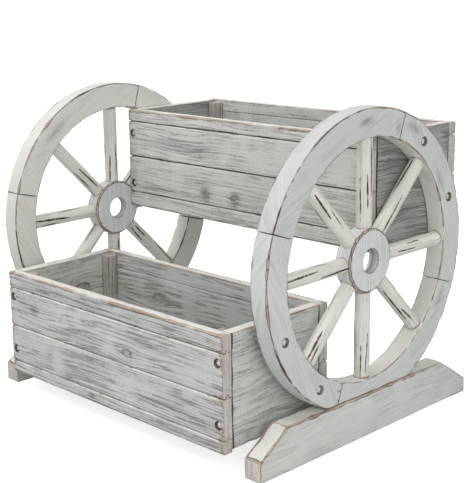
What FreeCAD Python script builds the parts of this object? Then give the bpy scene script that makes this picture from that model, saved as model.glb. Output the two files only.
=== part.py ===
import FreeCAD, Part
import math
import os
import re

import Sketcher
from FreeCAD import Placement, Rotation, Vector

# Two-tier flower cart stand: two long planter boxes carried between two
# decorative spoked wagon wheels, each wheel standing on a long wooden foot.
# The upper box lies against both rims. The lower box is shorter, and round
# pegs hold it between them.
#
# Frame: X runs along the boxes, left wheel at -X and right wheel at +X.
# -Y is the front, where the lower box stands, and +Y the back.
# Z is up. The origin is on the ground, in the middle of the stand.
# Millimetres throughout.

doc = FreeCAD.newDocument("flower_cart_stand")

# ---------------------------------------------------------------------------
# Driving dimensions
# ---------------------------------------------------------------------------

DIMENSIONS = [
    # boxes
    ("upper_box_length", 560),
    ("lower_box_length", 518),
    ("box_depth", 228),
    ("box_height", 180),
    ("board_thickness", 18),
    ("lower_box_front", -264),
    ("lower_box_base", 34),
    ("upper_box_front", 34),
    ("upper_box_base", 281),
    # what each board takes of the box's height, from the top down
    ("lower_board_one", 27),
    ("lower_board_two", 68),
    ("lower_board_three", 64),
    ("lower_board_four", 21),
    ("upper_board_one", 21),
    ("upper_board_two", 65),
    ("upper_board_three", 67),
    ("upper_board_four", 27),
    # tongue and groove joint between two boards
    ("joint_gap", 0.6),
    ("joint_bevel", 1.5),
    ("tongue_offset", 7),
    ("tongue_width", 5),
    ("tongue_height", 4.5),
    ("groove_clearance", 0.25),
    # ends, floor and corner posts of a box
    ("end_gap", 0.8),
    ("end_rise", 4),
    ("end_edge_round", 1),
    ("floor_thickness", 10),
    ("floor_rise", 8),
    ("floor_gap", 1),
    ("drain_diameter", 12),
    ("drain_columns", 5),
    ("drain_pitch", 100),
    ("drain_row_spacing", 90),
    ("post_width", 20),
    ("post_drop", 4),
    # wheels
    ("wheel_radius", 232),
    ("rim_inner_radius", 187),
    ("wheel_thickness", 32),
    ("axle_height", 280),
    ("axle_setback", 2),
    ("felloe_angle", 90),
    ("left_first_joint_angle", 75),
    ("right_first_joint_angle", 70),
    ("rim_edge_round", 2),
    ("spoke_count", 8),
    ("spoke_diameter", 24),
    ("socket_depth", 12),
    ("socket_clearance", 0.1),
    ("spoke_end_bevel", 1.5),
    # pegs that hold the shorter lower box between the wheels
    ("peg_diameter", 20),
    ("peg_end_bevel", 1.2),
    ("hub_radius", 50),
    ("hub_width", 30),
    ("hub_bore_radius", 18.5),
    ("hub_recess_radius", 33),
    ("hub_recess_depth", 16),
    ("hub_bevel", 2.5),
    # feet
    ("foot_length", 508),
    ("foot_height", 70),
    ("foot_front", -244),
    ("foot_front_face", 31),
    ("foot_front_slope", 59),
    ("foot_back_face", 24),
    ("foot_back_slope", 69),
    ("foot_edge_round", 1.5),
    # screws and the holes that they sit in
    ("screw_shank_radius", 2),
    ("screw_length", 42),
    ("screw_point_length", 6),
    ("screw_head_radius", 5),
    ("screw_head_height", 3),
    ("screw_head_bevel", 1.2),
    ("cross_length", 5),
    ("cross_width", 1.4),
    ("cross_depth", 1.6),
    ("screw_hole_radius", 2.1),
    ("pilot_floor", 2),
    ("counterbore_radius", 6.5),
    ("counterbore_depth", 5),
    ("foot_counterbore_depth", 53),
    ("box_screw_inset", 11),
    ("box_screw_height", 43),
    ("rim_screw_radius", 209.5),
    ("rim_screw_angle_one", 19),
    ("rim_screw_angle_two", 52.5),
    ("rim_screw_angle_three", 203),
    ("rim_screw_angle_four", 236),
    ("foot_screw_front", -90),
    ("foot_screw_back", 60),
]

sizes = doc.addObject("Spreadsheet::Sheet", "Sizes")
for row, (alias, value) in enumerate(DIMENSIONS, start=1):
    sizes.set(f"A{row}", alias)
    sizes.set(f"B{row}", str(value))
    sizes.setAlias(f"B{row}", alias)
doc.recompute()

ALIASES = {alias for alias, _ in DIMENSIONS}
BOARD_WORDS = ["one", "two", "three", "four"]
BOX_WORDS = ["lower", "upper"]
SIDES = {"left": -1, "right": 1}
RIM_SCREW_WORDS = {"upper": ["one", "two"], "lower": ["three", "four"]}

# Turns an object built round Z into one built round X, with the object's own
# X axis along the stand's Y and its own Y axis along the stand's Z.
AXLE_TURN = Rotation(Vector(1, 1, 1), 120)


def sheet(expression):
    """Rewrite each dimension's name in an expression as its sheet reference."""

    def reference(match):
        word = match.group()
        return f"<<Sizes>>.{word}" if word in ALIASES else word

    return re.sub(r"[a-z_]+", reference, expression)


def number(expression):
    """Work out an expression of dimension names as a plain number."""
    result = sizes.evalExpression(sheet(expression))
    return float(getattr(result, "Value", result))


def bind(target, name, expression):
    """Bind one property of an object to an expression of dimension names."""
    target.setExpression(name, sheet(expression))


def place(target, x="0", y="0", z="0", turn=None):
    """Bind an object's position to the sheet and give it a fixed turn."""
    if turn is not None:
        target.Placement = Placement(Vector(), turn)
    for axis, expression in (("x", x), ("y", y), ("z", z)):
        bind(target, f"Placement.Base.{axis}", expression)


# ---------------------------------------------------------------------------
# Sketch and feature helpers
# ---------------------------------------------------------------------------


def new_body(name):
    """Start a sub-part."""
    body = doc.addObject("PartDesign::Body", name)
    body.Label = name
    return body


def origin_feature(body, role):
    """Find one of a body's own origin planes or axes."""
    return next(item for item in body.Origin.OriginFeatures if item.Role == role)


def new_sketch(body, plane, name, lift="0"):
    """Attach an empty sketch to one of the body's origin planes."""
    sketch = body.newObject("Sketcher::SketchObject", f"{body.Name}_{name}")
    sketch.AttachmentSupport = (origin_feature(body, plane), [""])
    sketch.MapMode = "FlatFace"
    bind(sketch, "AttachmentOffset.Base.z", lift)
    return sketch


def pin_point(sketch, geometry, point, across, up):
    """Hold one point of the sketch at two expressions from the sketch origin."""
    for kind, expression in (("DistanceX", across), ("DistanceY", up)):
        index = sketch.addConstraint(
            Sketcher.Constraint(kind, -1, 1, geometry, point, number(expression))
        )
        bind(sketch, f"Constraints[{index}]", expression)


def outline(body, plane, name, corners, lift="0"):
    """Draw a closed outline whose corners are pairs of expressions."""
    sketch = new_sketch(body, plane, name, lift)
    points = [Vector(number(across), number(up), 0) for across, up in corners]
    count = len(points)
    for index in range(count):
        sketch.addGeometry(Part.LineSegment(points[index], points[(index + 1) % count]))
    for index in range(count):
        following = (index + 1) % count
        sketch.addConstraint(Sketcher.Constraint("Coincident", index, 2, following, 1))
    for index, (across, up) in enumerate(corners):
        pin_point(sketch, index, 1, across, up)
    return sketch


def rectangle(body, plane, name, low, high, lift="0"):
    """Draw a rectangle between two corners given as expressions."""
    (left, bottom), (right, top) = low, high
    corners = [(left, bottom), (right, bottom), (right, top), (left, top)]
    return outline(body, plane, name, corners, lift)


def circles(body, plane, name, centres, radius, lift="0"):
    """Draw equal circles whose centres are pairs of expressions."""
    sketch = new_sketch(body, plane, name, lift)
    for across, up in centres:
        centre = Vector(number(across), number(up), 0)
        circle = Part.Circle(centre, Vector(0, 0, 1), number(radius))
        geometry = sketch.addGeometry(circle)
        pin_point(sketch, geometry, 3, across, up)
        index = sketch.addConstraint(Sketcher.Constraint("Radius", geometry, number(radius)))
        bind(sketch, f"Constraints[{index}]", radius)
    return sketch


def pad(body, sketch, length, midplane=False):
    """Thicken a sketch into a solid."""
    feature = body.newObject("PartDesign::Pad", f"{sketch.Name}_pad")
    feature.Profile = sketch
    feature.Midplane = midplane
    bind(feature, "Length", length)
    doc.recompute()
    return feature


def pocket(body, sketch, depth, backwards=False):
    """Cut a sketch into the solid, and make sure that it removes wood."""
    before = body.Shape.Volume
    feature = body.newObject("PartDesign::Pocket", f"{sketch.Name}_pocket")
    feature.Profile = sketch
    feature.Reversed = backwards
    bind(feature, "Length", depth)
    doc.recompute()
    if body.Shape.Volume >= before:
        raise RuntimeError(f"{feature.Name} cuts nothing")
    return feature


def revolve(body, sketch, axis):
    """Turn a half section once round one of the body's axes."""
    feature = body.newObject("PartDesign::Revolution", f"{sketch.Name}_turned")
    feature.Profile = sketch
    feature.ReferenceAxis = (origin_feature(body, axis), [""])
    feature.Angle = 360
    doc.recompute()
    return feature


def round_edges(body, base, radius, wanted):
    """Round the edges of a feature that a test on each edge picks out."""
    names = [
        f"Edge{index}" for index, edge in enumerate(base.Shape.Edges, start=1) if wanted(edge)
    ]
    feature = body.newObject("PartDesign::Fillet", f"{body.Name}_rounding")
    feature.Base = (base, names)
    bind(feature, "Radius", radius)
    doc.recompute()
    return feature


def screw_holes(body, plane, name, centres, backwards=False, depth="counterbore_depth"):
    """Drill clearance holes through a piece, with a counterbore for each head."""
    through = circles(body, plane, name, centres, "screw_hole_radius")
    pocket(body, through, "foot_height + box_depth", backwards)
    seats = circles(body, plane, f"{name}_seats", centres, "counterbore_radius")
    pocket(body, seats, depth, backwards)


# ---------------------------------------------------------------------------
# Planter boxes
# ---------------------------------------------------------------------------


def boards_below(box, index):
    """Height of the boards that lie under a board, counted from the top."""
    below = [f"{box}_board_{word}" for word in BOARD_WORDS[index + 1 :]]
    return " + ".join(below) if below else "0"


def board_corners(box, index):
    """Section of one board: bevelled face edges, tongue above, groove below."""
    face = "joint_bevel"
    back = "board_thickness"
    top = f"{box}_board_{BOARD_WORDS[index]} - joint_gap"
    if index == 0:
        top = f"{box}_board_{BOARD_WORDS[index]}"
    groove_left = "tongue_offset - groove_clearance"
    groove_right = "tongue_offset + tongue_width + groove_clearance"
    groove_top = "tongue_height - joint_gap + groove_clearance"
    tongue_right = "tongue_offset + tongue_width"
    corners = [(face, "0")]
    if index < len(BOARD_WORDS) - 1:
        corners += [
            (groove_left, "0"),
            (groove_left, groove_top),
            (groove_right, groove_top),
            (groove_right, "0"),
        ]
    corners += [(back, "0"), (back, top)]
    if index > 0:
        corners += [
            (tongue_right, top),
            (tongue_right, f"{top} + tongue_height"),
            ("tongue_offset", f"{top} + tongue_height"),
            ("tongue_offset", top),
        ]
    corners += [(face, top), ("0", f"{top} - joint_bevel"), ("0", "joint_bevel")]
    return corners


def make_board(box, wall, index):
    """One horizontal board of a box's front or back wall, face at y = 0."""
    body = new_body(f"{box}_box_{wall}_board_{index + 1}")
    section = outline(body, "YZ_Plane", "section", board_corners(box, index))
    pad(body, section, f"{box}_box_length", midplane=True)
    base = boards_below(box, index)
    screw_levels = {1: "box_height - box_screw_height", 2: "box_screw_height"}
    if index in screw_levels:
        level = f"{screw_levels[index]} - ({base})"
        inset = f"({box}_box_length / 2 - box_screw_inset)"
        centres = [(f"-{inset}", level), (inset, level)]
        screw_holes(body, "XZ_Plane", "screw_holes", centres)
    if wall == "front":
        place(body, y=f"{box}_box_front", z=f"{box}_box_base + {base}")
    else:
        place(
            body,
            y=f"{box}_box_front + box_depth",
            z=f"{box}_box_base + {base}",
            turn=Rotation(Vector(0, 0, 1), 180),
        )
    return body


def make_end(box, side):
    """One end of a box: a wide board held between the front and back walls."""
    sign = SIDES[side]
    body = new_body(f"{box}_box_{side}_end")
    half_width = "(box_depth / 2 - board_thickness - end_gap)"
    face = rectangle(
        body,
        "YZ_Plane",
        "face",
        (f"-{half_width}", "end_rise"),
        (half_width, "box_height"),
    )
    plank = pad(body, face, "board_thickness", midplane=True)
    across_the_grain = number("2 * board_thickness")
    round_edges(body, plank, "end_edge_round", lambda edge: edge.Length > across_the_grain)
    middle = f"({box}_box_front + box_depth / 2)"
    rim_screws = [
        (
            f"axle_setback + rim_screw_radius * cos(rim_screw_angle_{word} * 1 deg) - {middle}",
            f"axle_height + rim_screw_radius * sin(rim_screw_angle_{word} * 1 deg) - {box}_box_base",
        )
        for word in RIM_SCREW_WORDS[box]
    ]
    if box == "upper":
        hole = "screw_hole_radius"
        skin = f"{sign} * (pilot_floor - board_thickness / 2)"
    else:
        hole = "peg_diameter / 2 + socket_clearance"
        skin = f"{sign} * (board_thickness / 2 - socket_depth)"
    mouths = circles(body, "YZ_Plane", "rim_holes", rim_screws, hole, skin)
    pocket(body, mouths, "board_thickness", backwards=sign > 0)
    across = f"{sign} * (board_thickness / 2 - box_screw_inset)"
    centres = [(across, "box_screw_height"), (across, "box_height - box_screw_height")]
    reach = "screw_length - (board_thickness - counterbore_depth)"
    for wall, way in (("front", 1), ("back", -1)):
        edge_face = f"{way} * {half_width}"
        holes = circles(
            body, "XZ_Plane", f"{wall}_pilots", centres, "screw_hole_radius", edge_face
        )
        pocket(body, holes, reach, backwards=way < 0)
    place(
        body,
        x=f"{sign} * ({box}_box_length - board_thickness) / 2",
        y=middle,
        z=f"{box}_box_base",
    )
    return body


def make_floor(box):
    """Floor panel of a box with two rows of drain holes."""
    body = new_body(f"{box}_box_floor")
    half_length = f"({box}_box_length / 2 - board_thickness - floor_gap)"
    half_depth = "(box_depth / 2 - board_thickness - floor_gap)"
    panel = rectangle(
        body,
        "XY_Plane",
        "panel",
        (f"-{half_length}", f"-{half_depth}"),
        (half_length, half_depth),
    )
    pad(body, panel, "floor_thickness")
    first = "-drain_pitch * (drain_columns - 1) / 2"
    row = "drain_row_spacing / 2"
    drains = circles(
        body, "XY_Plane", "drains", [(first, f"-{row}"), (first, row)], "drain_diameter / 2"
    )
    hole = pocket(body, drains, "floor_thickness", backwards=True)
    pattern = body.newObject("PartDesign::LinearPattern", f"{body.Name}_drain_rows")
    pattern.Originals = [hole]
    pattern.Direction = (origin_feature(body, "X_Axis"), [""])
    bind(pattern, "Length", "drain_pitch * (drain_columns - 1)")
    bind(pattern, "Occurrences", "drain_columns")
    body.Tip = pattern
    place(
        body,
        y=f"{box}_box_front + box_depth / 2",
        z=f"{box}_box_base + floor_rise",
    )
    return body


def make_post(box, wall, side):
    """Square post in one inner corner of a box, standing on the floor."""
    body = new_body(f"{box}_box_{wall}_{side}_post")
    section = rectangle(
        body,
        "XY_Plane",
        "section",
        ("-post_width / 2", "-post_width / 2"),
        ("post_width / 2", "post_width / 2"),
    )
    pad(body, section, "box_height - floor_rise - floor_thickness - post_drop")
    sign = SIDES[side]
    reach = "(box_depth / 2 - board_thickness - post_width / 2)"
    way = "-" if wall == "front" else "+"
    place(
        body,
        x=f"{sign} * ({box}_box_length / 2 - board_thickness - post_width / 2)",
        y=f"{box}_box_front + box_depth / 2 {way} {reach}",
        z=f"{box}_box_base + floor_rise + floor_thickness",
    )
    return body


# ---------------------------------------------------------------------------
# Wheels and feet
# ---------------------------------------------------------------------------

def new_shape(kind, name, **measures):
    """Add a simple solid whose measures are bound to expressions."""
    shape = doc.addObject(kind, name)
    for measure, expression in measures.items():
        bind(shape, measure, expression)
    return shape


def radial_socket(name, angle):
    """Cutter for one spoke's socket in the rim, along its own angle."""
    cutter = new_shape(
        "Part::Cylinder",
        name,
        Radius="spoke_diameter / 2 + socket_clearance",
        Height="rim_inner_radius + socket_depth",
    )
    direction = Vector(math.cos(math.radians(angle)), math.sin(math.radians(angle)), 0)
    cutter.Placement = Placement(Vector(), Rotation(Vector(0, 0, 1), direction))
    return cutter


def rim_screw_cutters(name, word, sign):
    """Cutters for one screw through the rim: hole, counterbore, peg socket."""
    across = f"rim_screw_radius * cos(rim_screw_angle_{word} * 1 deg)"
    up = f"rim_screw_radius * sin(rim_screw_angle_{word} * 1 deg)"
    hole = new_shape(
        "Part::Cylinder", f"{name}_hole", Radius="screw_hole_radius", Height="2 * wheel_thickness"
    )
    place(hole, across, up, "-wheel_thickness")
    seat = new_shape(
        "Part::Cylinder", f"{name}_seat", Radius="counterbore_radius", Height="wheel_thickness"
    )
    depth = "wheel_thickness / 2 - counterbore_depth"
    start = depth if sign > 0 else f"-({depth}) - wheel_thickness"
    place(seat, across, up, start)
    if word not in RIM_SCREW_WORDS["lower"]:
        return [hole, seat]
    mouth = new_shape(
        "Part::Cylinder",
        f"{name}_peg_socket",
        Radius="peg_diameter / 2 + socket_clearance",
        Height="2 * socket_depth",
    )
    inner_face = f"{-sign} * wheel_thickness / 2"
    place(mouth, across, up, f"{inner_face} - socket_depth")
    return [hole, seat, mouth]


def foot_screw_cutter(name, across):
    """Cutter for the pilot hole of a screw that comes up from the foot."""
    pilot = new_shape(
        "Part::Cylinder", name, Radius="screw_hole_radius", Height="2 * screw_length"
    )
    tip = "foot_counterbore_depth + screw_length"
    place(pilot, across, f"{tip} - axle_height", turn=Rotation(Vector(1, 0, 0), 90))
    return pilot


def turned_within(angle, start, span):
    """Say whether an angle lies within a felloe that starts at another."""
    return 0 < (angle - start) % 360 < span


def make_felloe(side, index):
    """One quarter of a wheel's rim, with its sockets, screw holes and flat."""
    name = f"{side}_wheel_felloe_{index + 1}"
    sign = SIDES[side]
    span = number("felloe_angle")
    start = number(f"{side}_first_joint_angle") + index * span
    turn = Rotation(Vector(0, 0, 1), start)
    blank = new_shape(
        "Part::Cylinder",
        f"{name}_blank",
        Radius="wheel_radius",
        Height="wheel_thickness",
        Angle="felloe_angle",
    )
    core = new_shape(
        "Part::Cylinder",
        f"{name}_core",
        Radius="rim_inner_radius",
        Height="2 * wheel_thickness",
    )
    place(blank, z="-wheel_thickness / 2", turn=turn)
    place(core, z="-wheel_thickness", turn=turn)
    quarter = doc.addObject("Part::Cut", f"{name}_quarter")
    quarter.Base = blank
    quarter.Tool = core
    doc.recompute()

    rounded = doc.addObject("Part::Fillet", f"{name}_rounded")
    rounded.Base = quarter
    radius = number("rim_edge_round")
    rounded.Edges = [
        (edge_index, radius, radius)
        for edge_index, edge in enumerate(quarter.Shape.Edges, start=1)
        if isinstance(edge.Curve, Part.Circle)
    ]
    doc.recompute()

    cutters = []
    spoke_step = 360 / number("spoke_count")
    for spoke in range(int(number("spoke_count"))):
        angle = spoke * spoke_step
        if turned_within(angle, start, span):
            cutters.append(radial_socket(f"{name}_socket_{spoke + 1}", angle))
    for word in BOARD_WORDS:
        if turned_within(number(f"rim_screw_angle_{word}"), start, span):
            cutters += rim_screw_cutters(f"{name}_screw_{word}", word, sign)
    flat_level = number("foot_height - axle_height")
    for word in ("front", "back"):
        across = number(f"foot_screw_{word}")
        angle = math.degrees(math.atan2(flat_level, across))
        if turned_within(angle, start, span):
            cutters.append(foot_screw_cutter(f"{name}_{word}_pilot", f"foot_screw_{word}"))
    ground = new_shape(
        "Part::Box",
        f"{name}_flat",
        Length="2 * wheel_radius",
        Width="wheel_radius",
        Height="2 * wheel_thickness",
    )
    place(
        ground,
        "-wheel_radius",
        "foot_height - axle_height - wheel_radius",
        "-wheel_thickness",
    )
    cutters.append(ground)
    tool = doc.addObject("Part::MultiFuse", f"{name}_cutters")
    tool.Shapes = cutters
    felloe = doc.addObject("Part::Cut", name)
    felloe.Label = name
    felloe.Base = rounded
    felloe.Tool = tool
    place_on_axle(felloe, sign)
    return felloe


def place_on_axle(target, sign, turn=AXLE_TURN):
    """Centre a wheel piece on its axle."""
    place(
        target,
        x=f"{sign} * (upper_box_length + wheel_thickness) / 2",
        y="axle_setback",
        z="axle_height",
        turn=turn,
    )


def make_spoke(side, index):
    """One round spoke, from its socket in the hub to its socket in the rim."""
    body = new_body(f"{side}_wheel_spoke_{index + 1}")
    radius = "spoke_diameter / 2"
    inner = "hub_radius - socket_depth + socket_clearance"
    outer = "rim_inner_radius + socket_depth - socket_clearance"
    corners = [
        (inner, "0"),
        (outer, "0"),
        (outer, f"{radius} - spoke_end_bevel"),
        (f"{outer} - spoke_end_bevel", radius),
        (f"{inner} + spoke_end_bevel", radius),
        (inner, f"{radius} - spoke_end_bevel"),
    ]
    half_section = outline(body, "XY_Plane", "half_section", corners)
    revolve(body, half_section, "X_Axis")
    angle = index * 360 / number("spoke_count")
    place_on_axle(body, SIDES[side], AXLE_TURN.multiply(Rotation(Vector(0, 0, 1), angle)))
    return body


def make_hub(side):
    """Turned hub with a ring of spoke sockets, and a bore behind a wide recess.

    Both hubs are the same piece, placed the same way round: the recess opens
    towards -X, so the plain face is the one that is seen from the front right.
    """
    body = new_body(f"{side}_wheel_hub")
    half = "hub_width / 2"
    corners = [
        ("hub_recess_radius", f"-{half}"),
        ("hub_radius - hub_bevel", f"-{half}"),
        ("hub_radius", f"-{half} + hub_bevel"),
        ("hub_radius", f"{half} - hub_bevel"),
        ("hub_radius - hub_bevel", half),
        ("hub_bore_radius", half),
        ("hub_bore_radius", f"-{half} + hub_recess_depth"),
        ("hub_recess_radius", f"-{half} + hub_recess_depth"),
    ]
    half_section = outline(body, "XZ_Plane", "half_section", corners)
    revolve(body, half_section, "Z_Axis")
    mouth = circles(
        body,
        "YZ_Plane",
        "socket",
        [("0", "0")],
        "spoke_diameter / 2 + socket_clearance",
        lift="hub_radius - socket_depth",
    )
    socket = pocket(body, mouth, "hub_radius", backwards=True)
    ring = body.newObject("PartDesign::PolarPattern", f"{body.Name}_sockets")
    ring.Originals = [socket]
    ring.Axis = (origin_feature(body, "Z_Axis"), [""])
    ring.Angle = 360
    bind(ring, "Occurrences", "spoke_count")
    body.Tip = ring
    place_on_axle(body, SIDES[side])
    return body


def make_foot(side):
    """Long foot under a wheel, both ends sloped off on top."""
    body = new_body(f"{side}_foot")
    corners = [
        ("0", "0"),
        ("foot_length", "0"),
        ("foot_length", "foot_back_face"),
        ("foot_length - foot_back_slope", "foot_height"),
        ("foot_front_slope", "foot_height"),
        ("0", "foot_front_face"),
    ]
    profile = outline(body, "YZ_Plane", "profile", corners)
    plank = pad(body, profile, "wheel_thickness", midplane=True)
    round_edges(body, plank, "foot_edge_round", lambda edge: edge.BoundBox.ZMax > 1)
    centres = [
        ("0", "axle_setback + foot_screw_front - foot_front"),
        ("0", "axle_setback + foot_screw_back - foot_front"),
    ]
    screw_holes(
        body, "XY_Plane", "screw_holes", centres, backwards=True, depth="foot_counterbore_depth"
    )
    place(
        body,
        x=f"{SIDES[side]} * (upper_box_length + wheel_thickness) / 2",
        y="foot_front",
    )
    return body


# ---------------------------------------------------------------------------
# Pegs and screws
# ---------------------------------------------------------------------------


def make_peg():
    """Round peg along Z with its outer end at z = 0, drilled for a screw."""
    body = new_body("box_peg")
    radius = "peg_diameter / 2"
    gap = "(upper_box_length - lower_box_length) / 2"
    foot = f"-({gap} + 2 * socket_depth - 2 * socket_clearance)"
    floor = "-(counterbore_depth + screw_length + socket_depth + pilot_floor - wheel_thickness)"
    corners = [
        ("screw_hole_radius", "0"),
        (f"{radius} - peg_end_bevel", "0"),
        (radius, "-peg_end_bevel"),
        (radius, f"{foot} + peg_end_bevel"),
        (f"{radius} - peg_end_bevel", foot),
        ("0", foot),
        ("0", floor),
        ("screw_hole_radius", floor),
    ]
    half_section = outline(body, "XZ_Plane", "half_section", corners)
    revolve(body, half_section, "Z_Axis")
    return body


def peg_spots():
    """Pegs between the rims and the lower box, one on each lower rim screw."""
    spots = []
    for sign in SIDES.values():
        x = f"{sign} * (upper_box_length / 2 + socket_depth - socket_clearance)"
        for word in RIM_SCREW_WORDS["lower"]:
            spots.append(((x, *rim_spot(word)), Vector(sign, 0, 0)))
    return spots


def rim_spot(word):
    """Place of one rim screw as expressions for y and z."""
    angle = f"rim_screw_angle_{word} * 1 deg"
    y = f"axle_setback + rim_screw_radius * cos({angle})"
    z = f"axle_height + rim_screw_radius * sin({angle})"
    return y, z


def make_screw():
    """Pan-head wood screw along Z, head up, with its seat at z = 0."""
    body = new_body("wood_screw")
    head = "screw_head_radius"
    top = "screw_head_height"
    corners = [
        ("0", "-screw_length"),
        ("screw_shank_radius", "screw_point_length - screw_length"),
        ("screw_shank_radius", "0"),
        (head, "0"),
        (head, f"{top} - screw_head_bevel"),
        (f"{head} - screw_head_bevel", top),
        ("0", top),
    ]
    half_section = outline(body, "XZ_Plane", "half_section", corners)
    revolve(body, half_section, "Z_Axis")
    long = "cross_length / 2"
    wide = "cross_width / 2"
    cross = [
        (wide, wide),
        (wide, long),
        (f"-{wide}", long),
        (f"-{wide}", wide),
        (f"-{long}", wide),
        (f"-{long}", f"-{wide}"),
        (f"-{wide}", f"-{wide}"),
        (f"-{wide}", f"-{long}"),
        (wide, f"-{long}"),
        (wide, f"-{wide}"),
        (long, f"-{wide}"),
        (long, wide),
    ]
    recess = outline(body, "XY_Plane", "cross", cross, lift=top)
    pocket(body, recess, "cross_depth")
    return body


def copies(name, model, spots):
    """Group copies of a piece, each given by its place and the way of its Z."""
    links = []
    for index, (position, facing) in enumerate(spots):
        link = doc.addObject("App::Link", f"{name}_{index + 1}")
        link.LinkedObject = model
        link.LinkTransform = False
        place(link, *position, turn=Rotation(Vector(0, 0, 1), facing))
        links.append(link)
    group = doc.addObject("Part::Compound", name)
    group.Label = name
    group.Links = links
    return group


def box_screw_spots():
    """Screws through the front and back boards into the ends of both boxes."""
    spots = []
    for box in BOX_WORDS:
        for sign in SIDES.values():
            x = f"{sign} * ({box}_box_length / 2 - box_screw_inset)"
            for level in ("box_screw_height", "box_height - box_screw_height"):
                z = f"{box}_box_base + {level}"
                front = f"{box}_box_front + counterbore_depth"
                back = f"{box}_box_front + box_depth - counterbore_depth"
                spots.append(((x, front, z), Vector(0, -1, 0)))
                spots.append(((x, back, z), Vector(0, 1, 0)))
    return spots


def wheel_screw_spots():
    """Screws through both rims into the boxes, and up through both feet."""
    spots = []
    for sign in SIDES.values():
        x = f"{sign} * (upper_box_length / 2 + wheel_thickness - counterbore_depth)"
        for word in BOARD_WORDS:
            spots.append(((x, *rim_spot(word)), Vector(sign, 0, 0)))
        middle = f"{sign} * (upper_box_length + wheel_thickness) / 2"
        for word in ("front", "back"):
            y = f"axle_setback + foot_screw_{word}"
            spots.append(((middle, y, "foot_counterbore_depth"), Vector(0, 0, -1)))
    return spots


# ---------------------------------------------------------------------------
# Assembly
# ---------------------------------------------------------------------------

parts = []
for box_name in BOX_WORDS:
    for wall_name in ("front", "back"):
        for board_index in range(len(BOARD_WORDS)):
            parts.append(make_board(box_name, wall_name, board_index))
    for side_name in SIDES:
        parts.append(make_end(box_name, side_name))
    parts.append(make_floor(box_name))
    for wall_name in ("front", "back"):
        for side_name in SIDES:
            parts.append(make_post(box_name, wall_name, side_name))

for side_name in SIDES:
    felloe_count = round(360 / number("felloe_angle"))
    for felloe_index in range(felloe_count):
        parts.append(make_felloe(side_name, felloe_index))
    for spoke_index in range(int(number("spoke_count"))):
        parts.append(make_spoke(side_name, spoke_index))
    parts.append(make_hub(side_name))
    parts.append(make_foot(side_name))

parts.append(copies("lower_box_pegs", make_peg(), peg_spots()))
parts.append(copies("screws", make_screw(), box_screw_spots() + wheel_screw_spots()))

doc.recompute()

# ---------------------------------------------------------------------------
# Checks and files
# ---------------------------------------------------------------------------

for item in doc.Objects:
    if "Invalid" in item.State or "Error" in item.State:
        raise RuntimeError(f"{item.Name} failed: {item.State}")
for item in parts:
    if item.Shape.isNull() or not item.Shape.isValid():
        raise RuntimeError(f"{item.Label} has no valid shape")

os.makedirs("parts", exist_ok=True)
for item in parts:
    item.Shape.exportStep(f"parts/{item.Label}.step")
print(f"{len(parts)} parts written")
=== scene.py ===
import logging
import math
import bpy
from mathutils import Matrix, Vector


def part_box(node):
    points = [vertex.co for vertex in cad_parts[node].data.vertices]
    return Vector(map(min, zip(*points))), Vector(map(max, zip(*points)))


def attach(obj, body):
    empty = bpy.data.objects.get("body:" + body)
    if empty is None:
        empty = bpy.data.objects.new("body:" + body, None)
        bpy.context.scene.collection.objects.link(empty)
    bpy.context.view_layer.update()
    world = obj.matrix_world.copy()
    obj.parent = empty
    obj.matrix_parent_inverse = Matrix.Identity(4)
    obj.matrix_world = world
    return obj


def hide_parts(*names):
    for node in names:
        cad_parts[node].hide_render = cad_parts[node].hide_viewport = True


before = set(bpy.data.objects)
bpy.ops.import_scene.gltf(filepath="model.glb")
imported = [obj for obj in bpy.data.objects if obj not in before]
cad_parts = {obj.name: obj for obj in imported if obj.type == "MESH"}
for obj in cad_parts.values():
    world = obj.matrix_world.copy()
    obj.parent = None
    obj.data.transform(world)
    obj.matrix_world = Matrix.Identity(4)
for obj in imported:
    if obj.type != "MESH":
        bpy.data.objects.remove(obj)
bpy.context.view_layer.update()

# Looks of the flower cart stand: two board planters between two wagon wheels.
#
# Every length is in metres, in the frame of the CAD: x runs along the boxes,
# y from front to back, z up, with the origin on the floor under the middle.
# Each wooden piece is one closed surface worked out with numpy: a section is
# carried along a line, an arc or round an axis, and its arrises are then
# rounded, knocked and worn. Each corner of the surface also carries what the
# paint shader reads: grain coordinates, wear, soot with painted shade, thick
# paint with painted highlight, painted shade, knots and splits, and its
# distance from the nearest worn arris and from the nearest seam.

import zlib
from dataclasses import dataclass, field
from enum import Enum, IntEnum
from typing import Callable, ClassVar

import bpy
import numpy as np
from mathutils import Matrix, Vector

LOG = logging.getLogger("cart_stand")
Array = np.ndarray
Material = bpy.types.Material
Object = bpy.types.Object
Socket = bpy.types.NodeSocket
Colour = tuple[float, float, float]
Place = Callable[[Array, Array, Array], Array]
BODY = "root"
FAR = 6.0  # an edge or seam distance at which nothing is drawn


class Slot(Enum):
    """Names of the material slots."""

    BOARDS = "painted_boards"
    RIMS = "painted_rims"
    SPOKES = "painted_spokes"
    HUBS = "painted_hubs"
    FEET = "painted_feet"
    INSIDE = "inner_wood"
    SCREWS = "screws"


class Tier(Enum):
    """The two planter boxes."""

    LOWER = "lower"
    UPPER = "upper"


class Wall(Enum):
    """Long walls of a box."""

    FRONT = "front"
    BACK = "back"


class Side(Enum):
    """Ends of the stand, with the sign of x there."""

    LEFT = -1
    RIGHT = 1

    @property
    def word(self) -> str:
        """The side's word in the node names."""
        return self.name.lower()


class Draw(IntEnum):
    """What is added to a piece's seed for each of its random fields."""

    TONE = 1
    PLACES = 2
    GRAIN = 3
    PATCHES = 4
    KNOCKS = 5
    SPLITS = 6
    SAG = 9
    WEAR = 11
    RUB = 12
    LINE = 13
    WHITE = 14
    KNOT = 15
    TANGLE = 16


# ---------------------------------------------------------------------------
# Numbers and surfaces


def seed_of(name: str) -> int:
    """A fixed seed that depends on a piece's name alone."""
    return zlib.crc32(name.encode())


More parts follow.
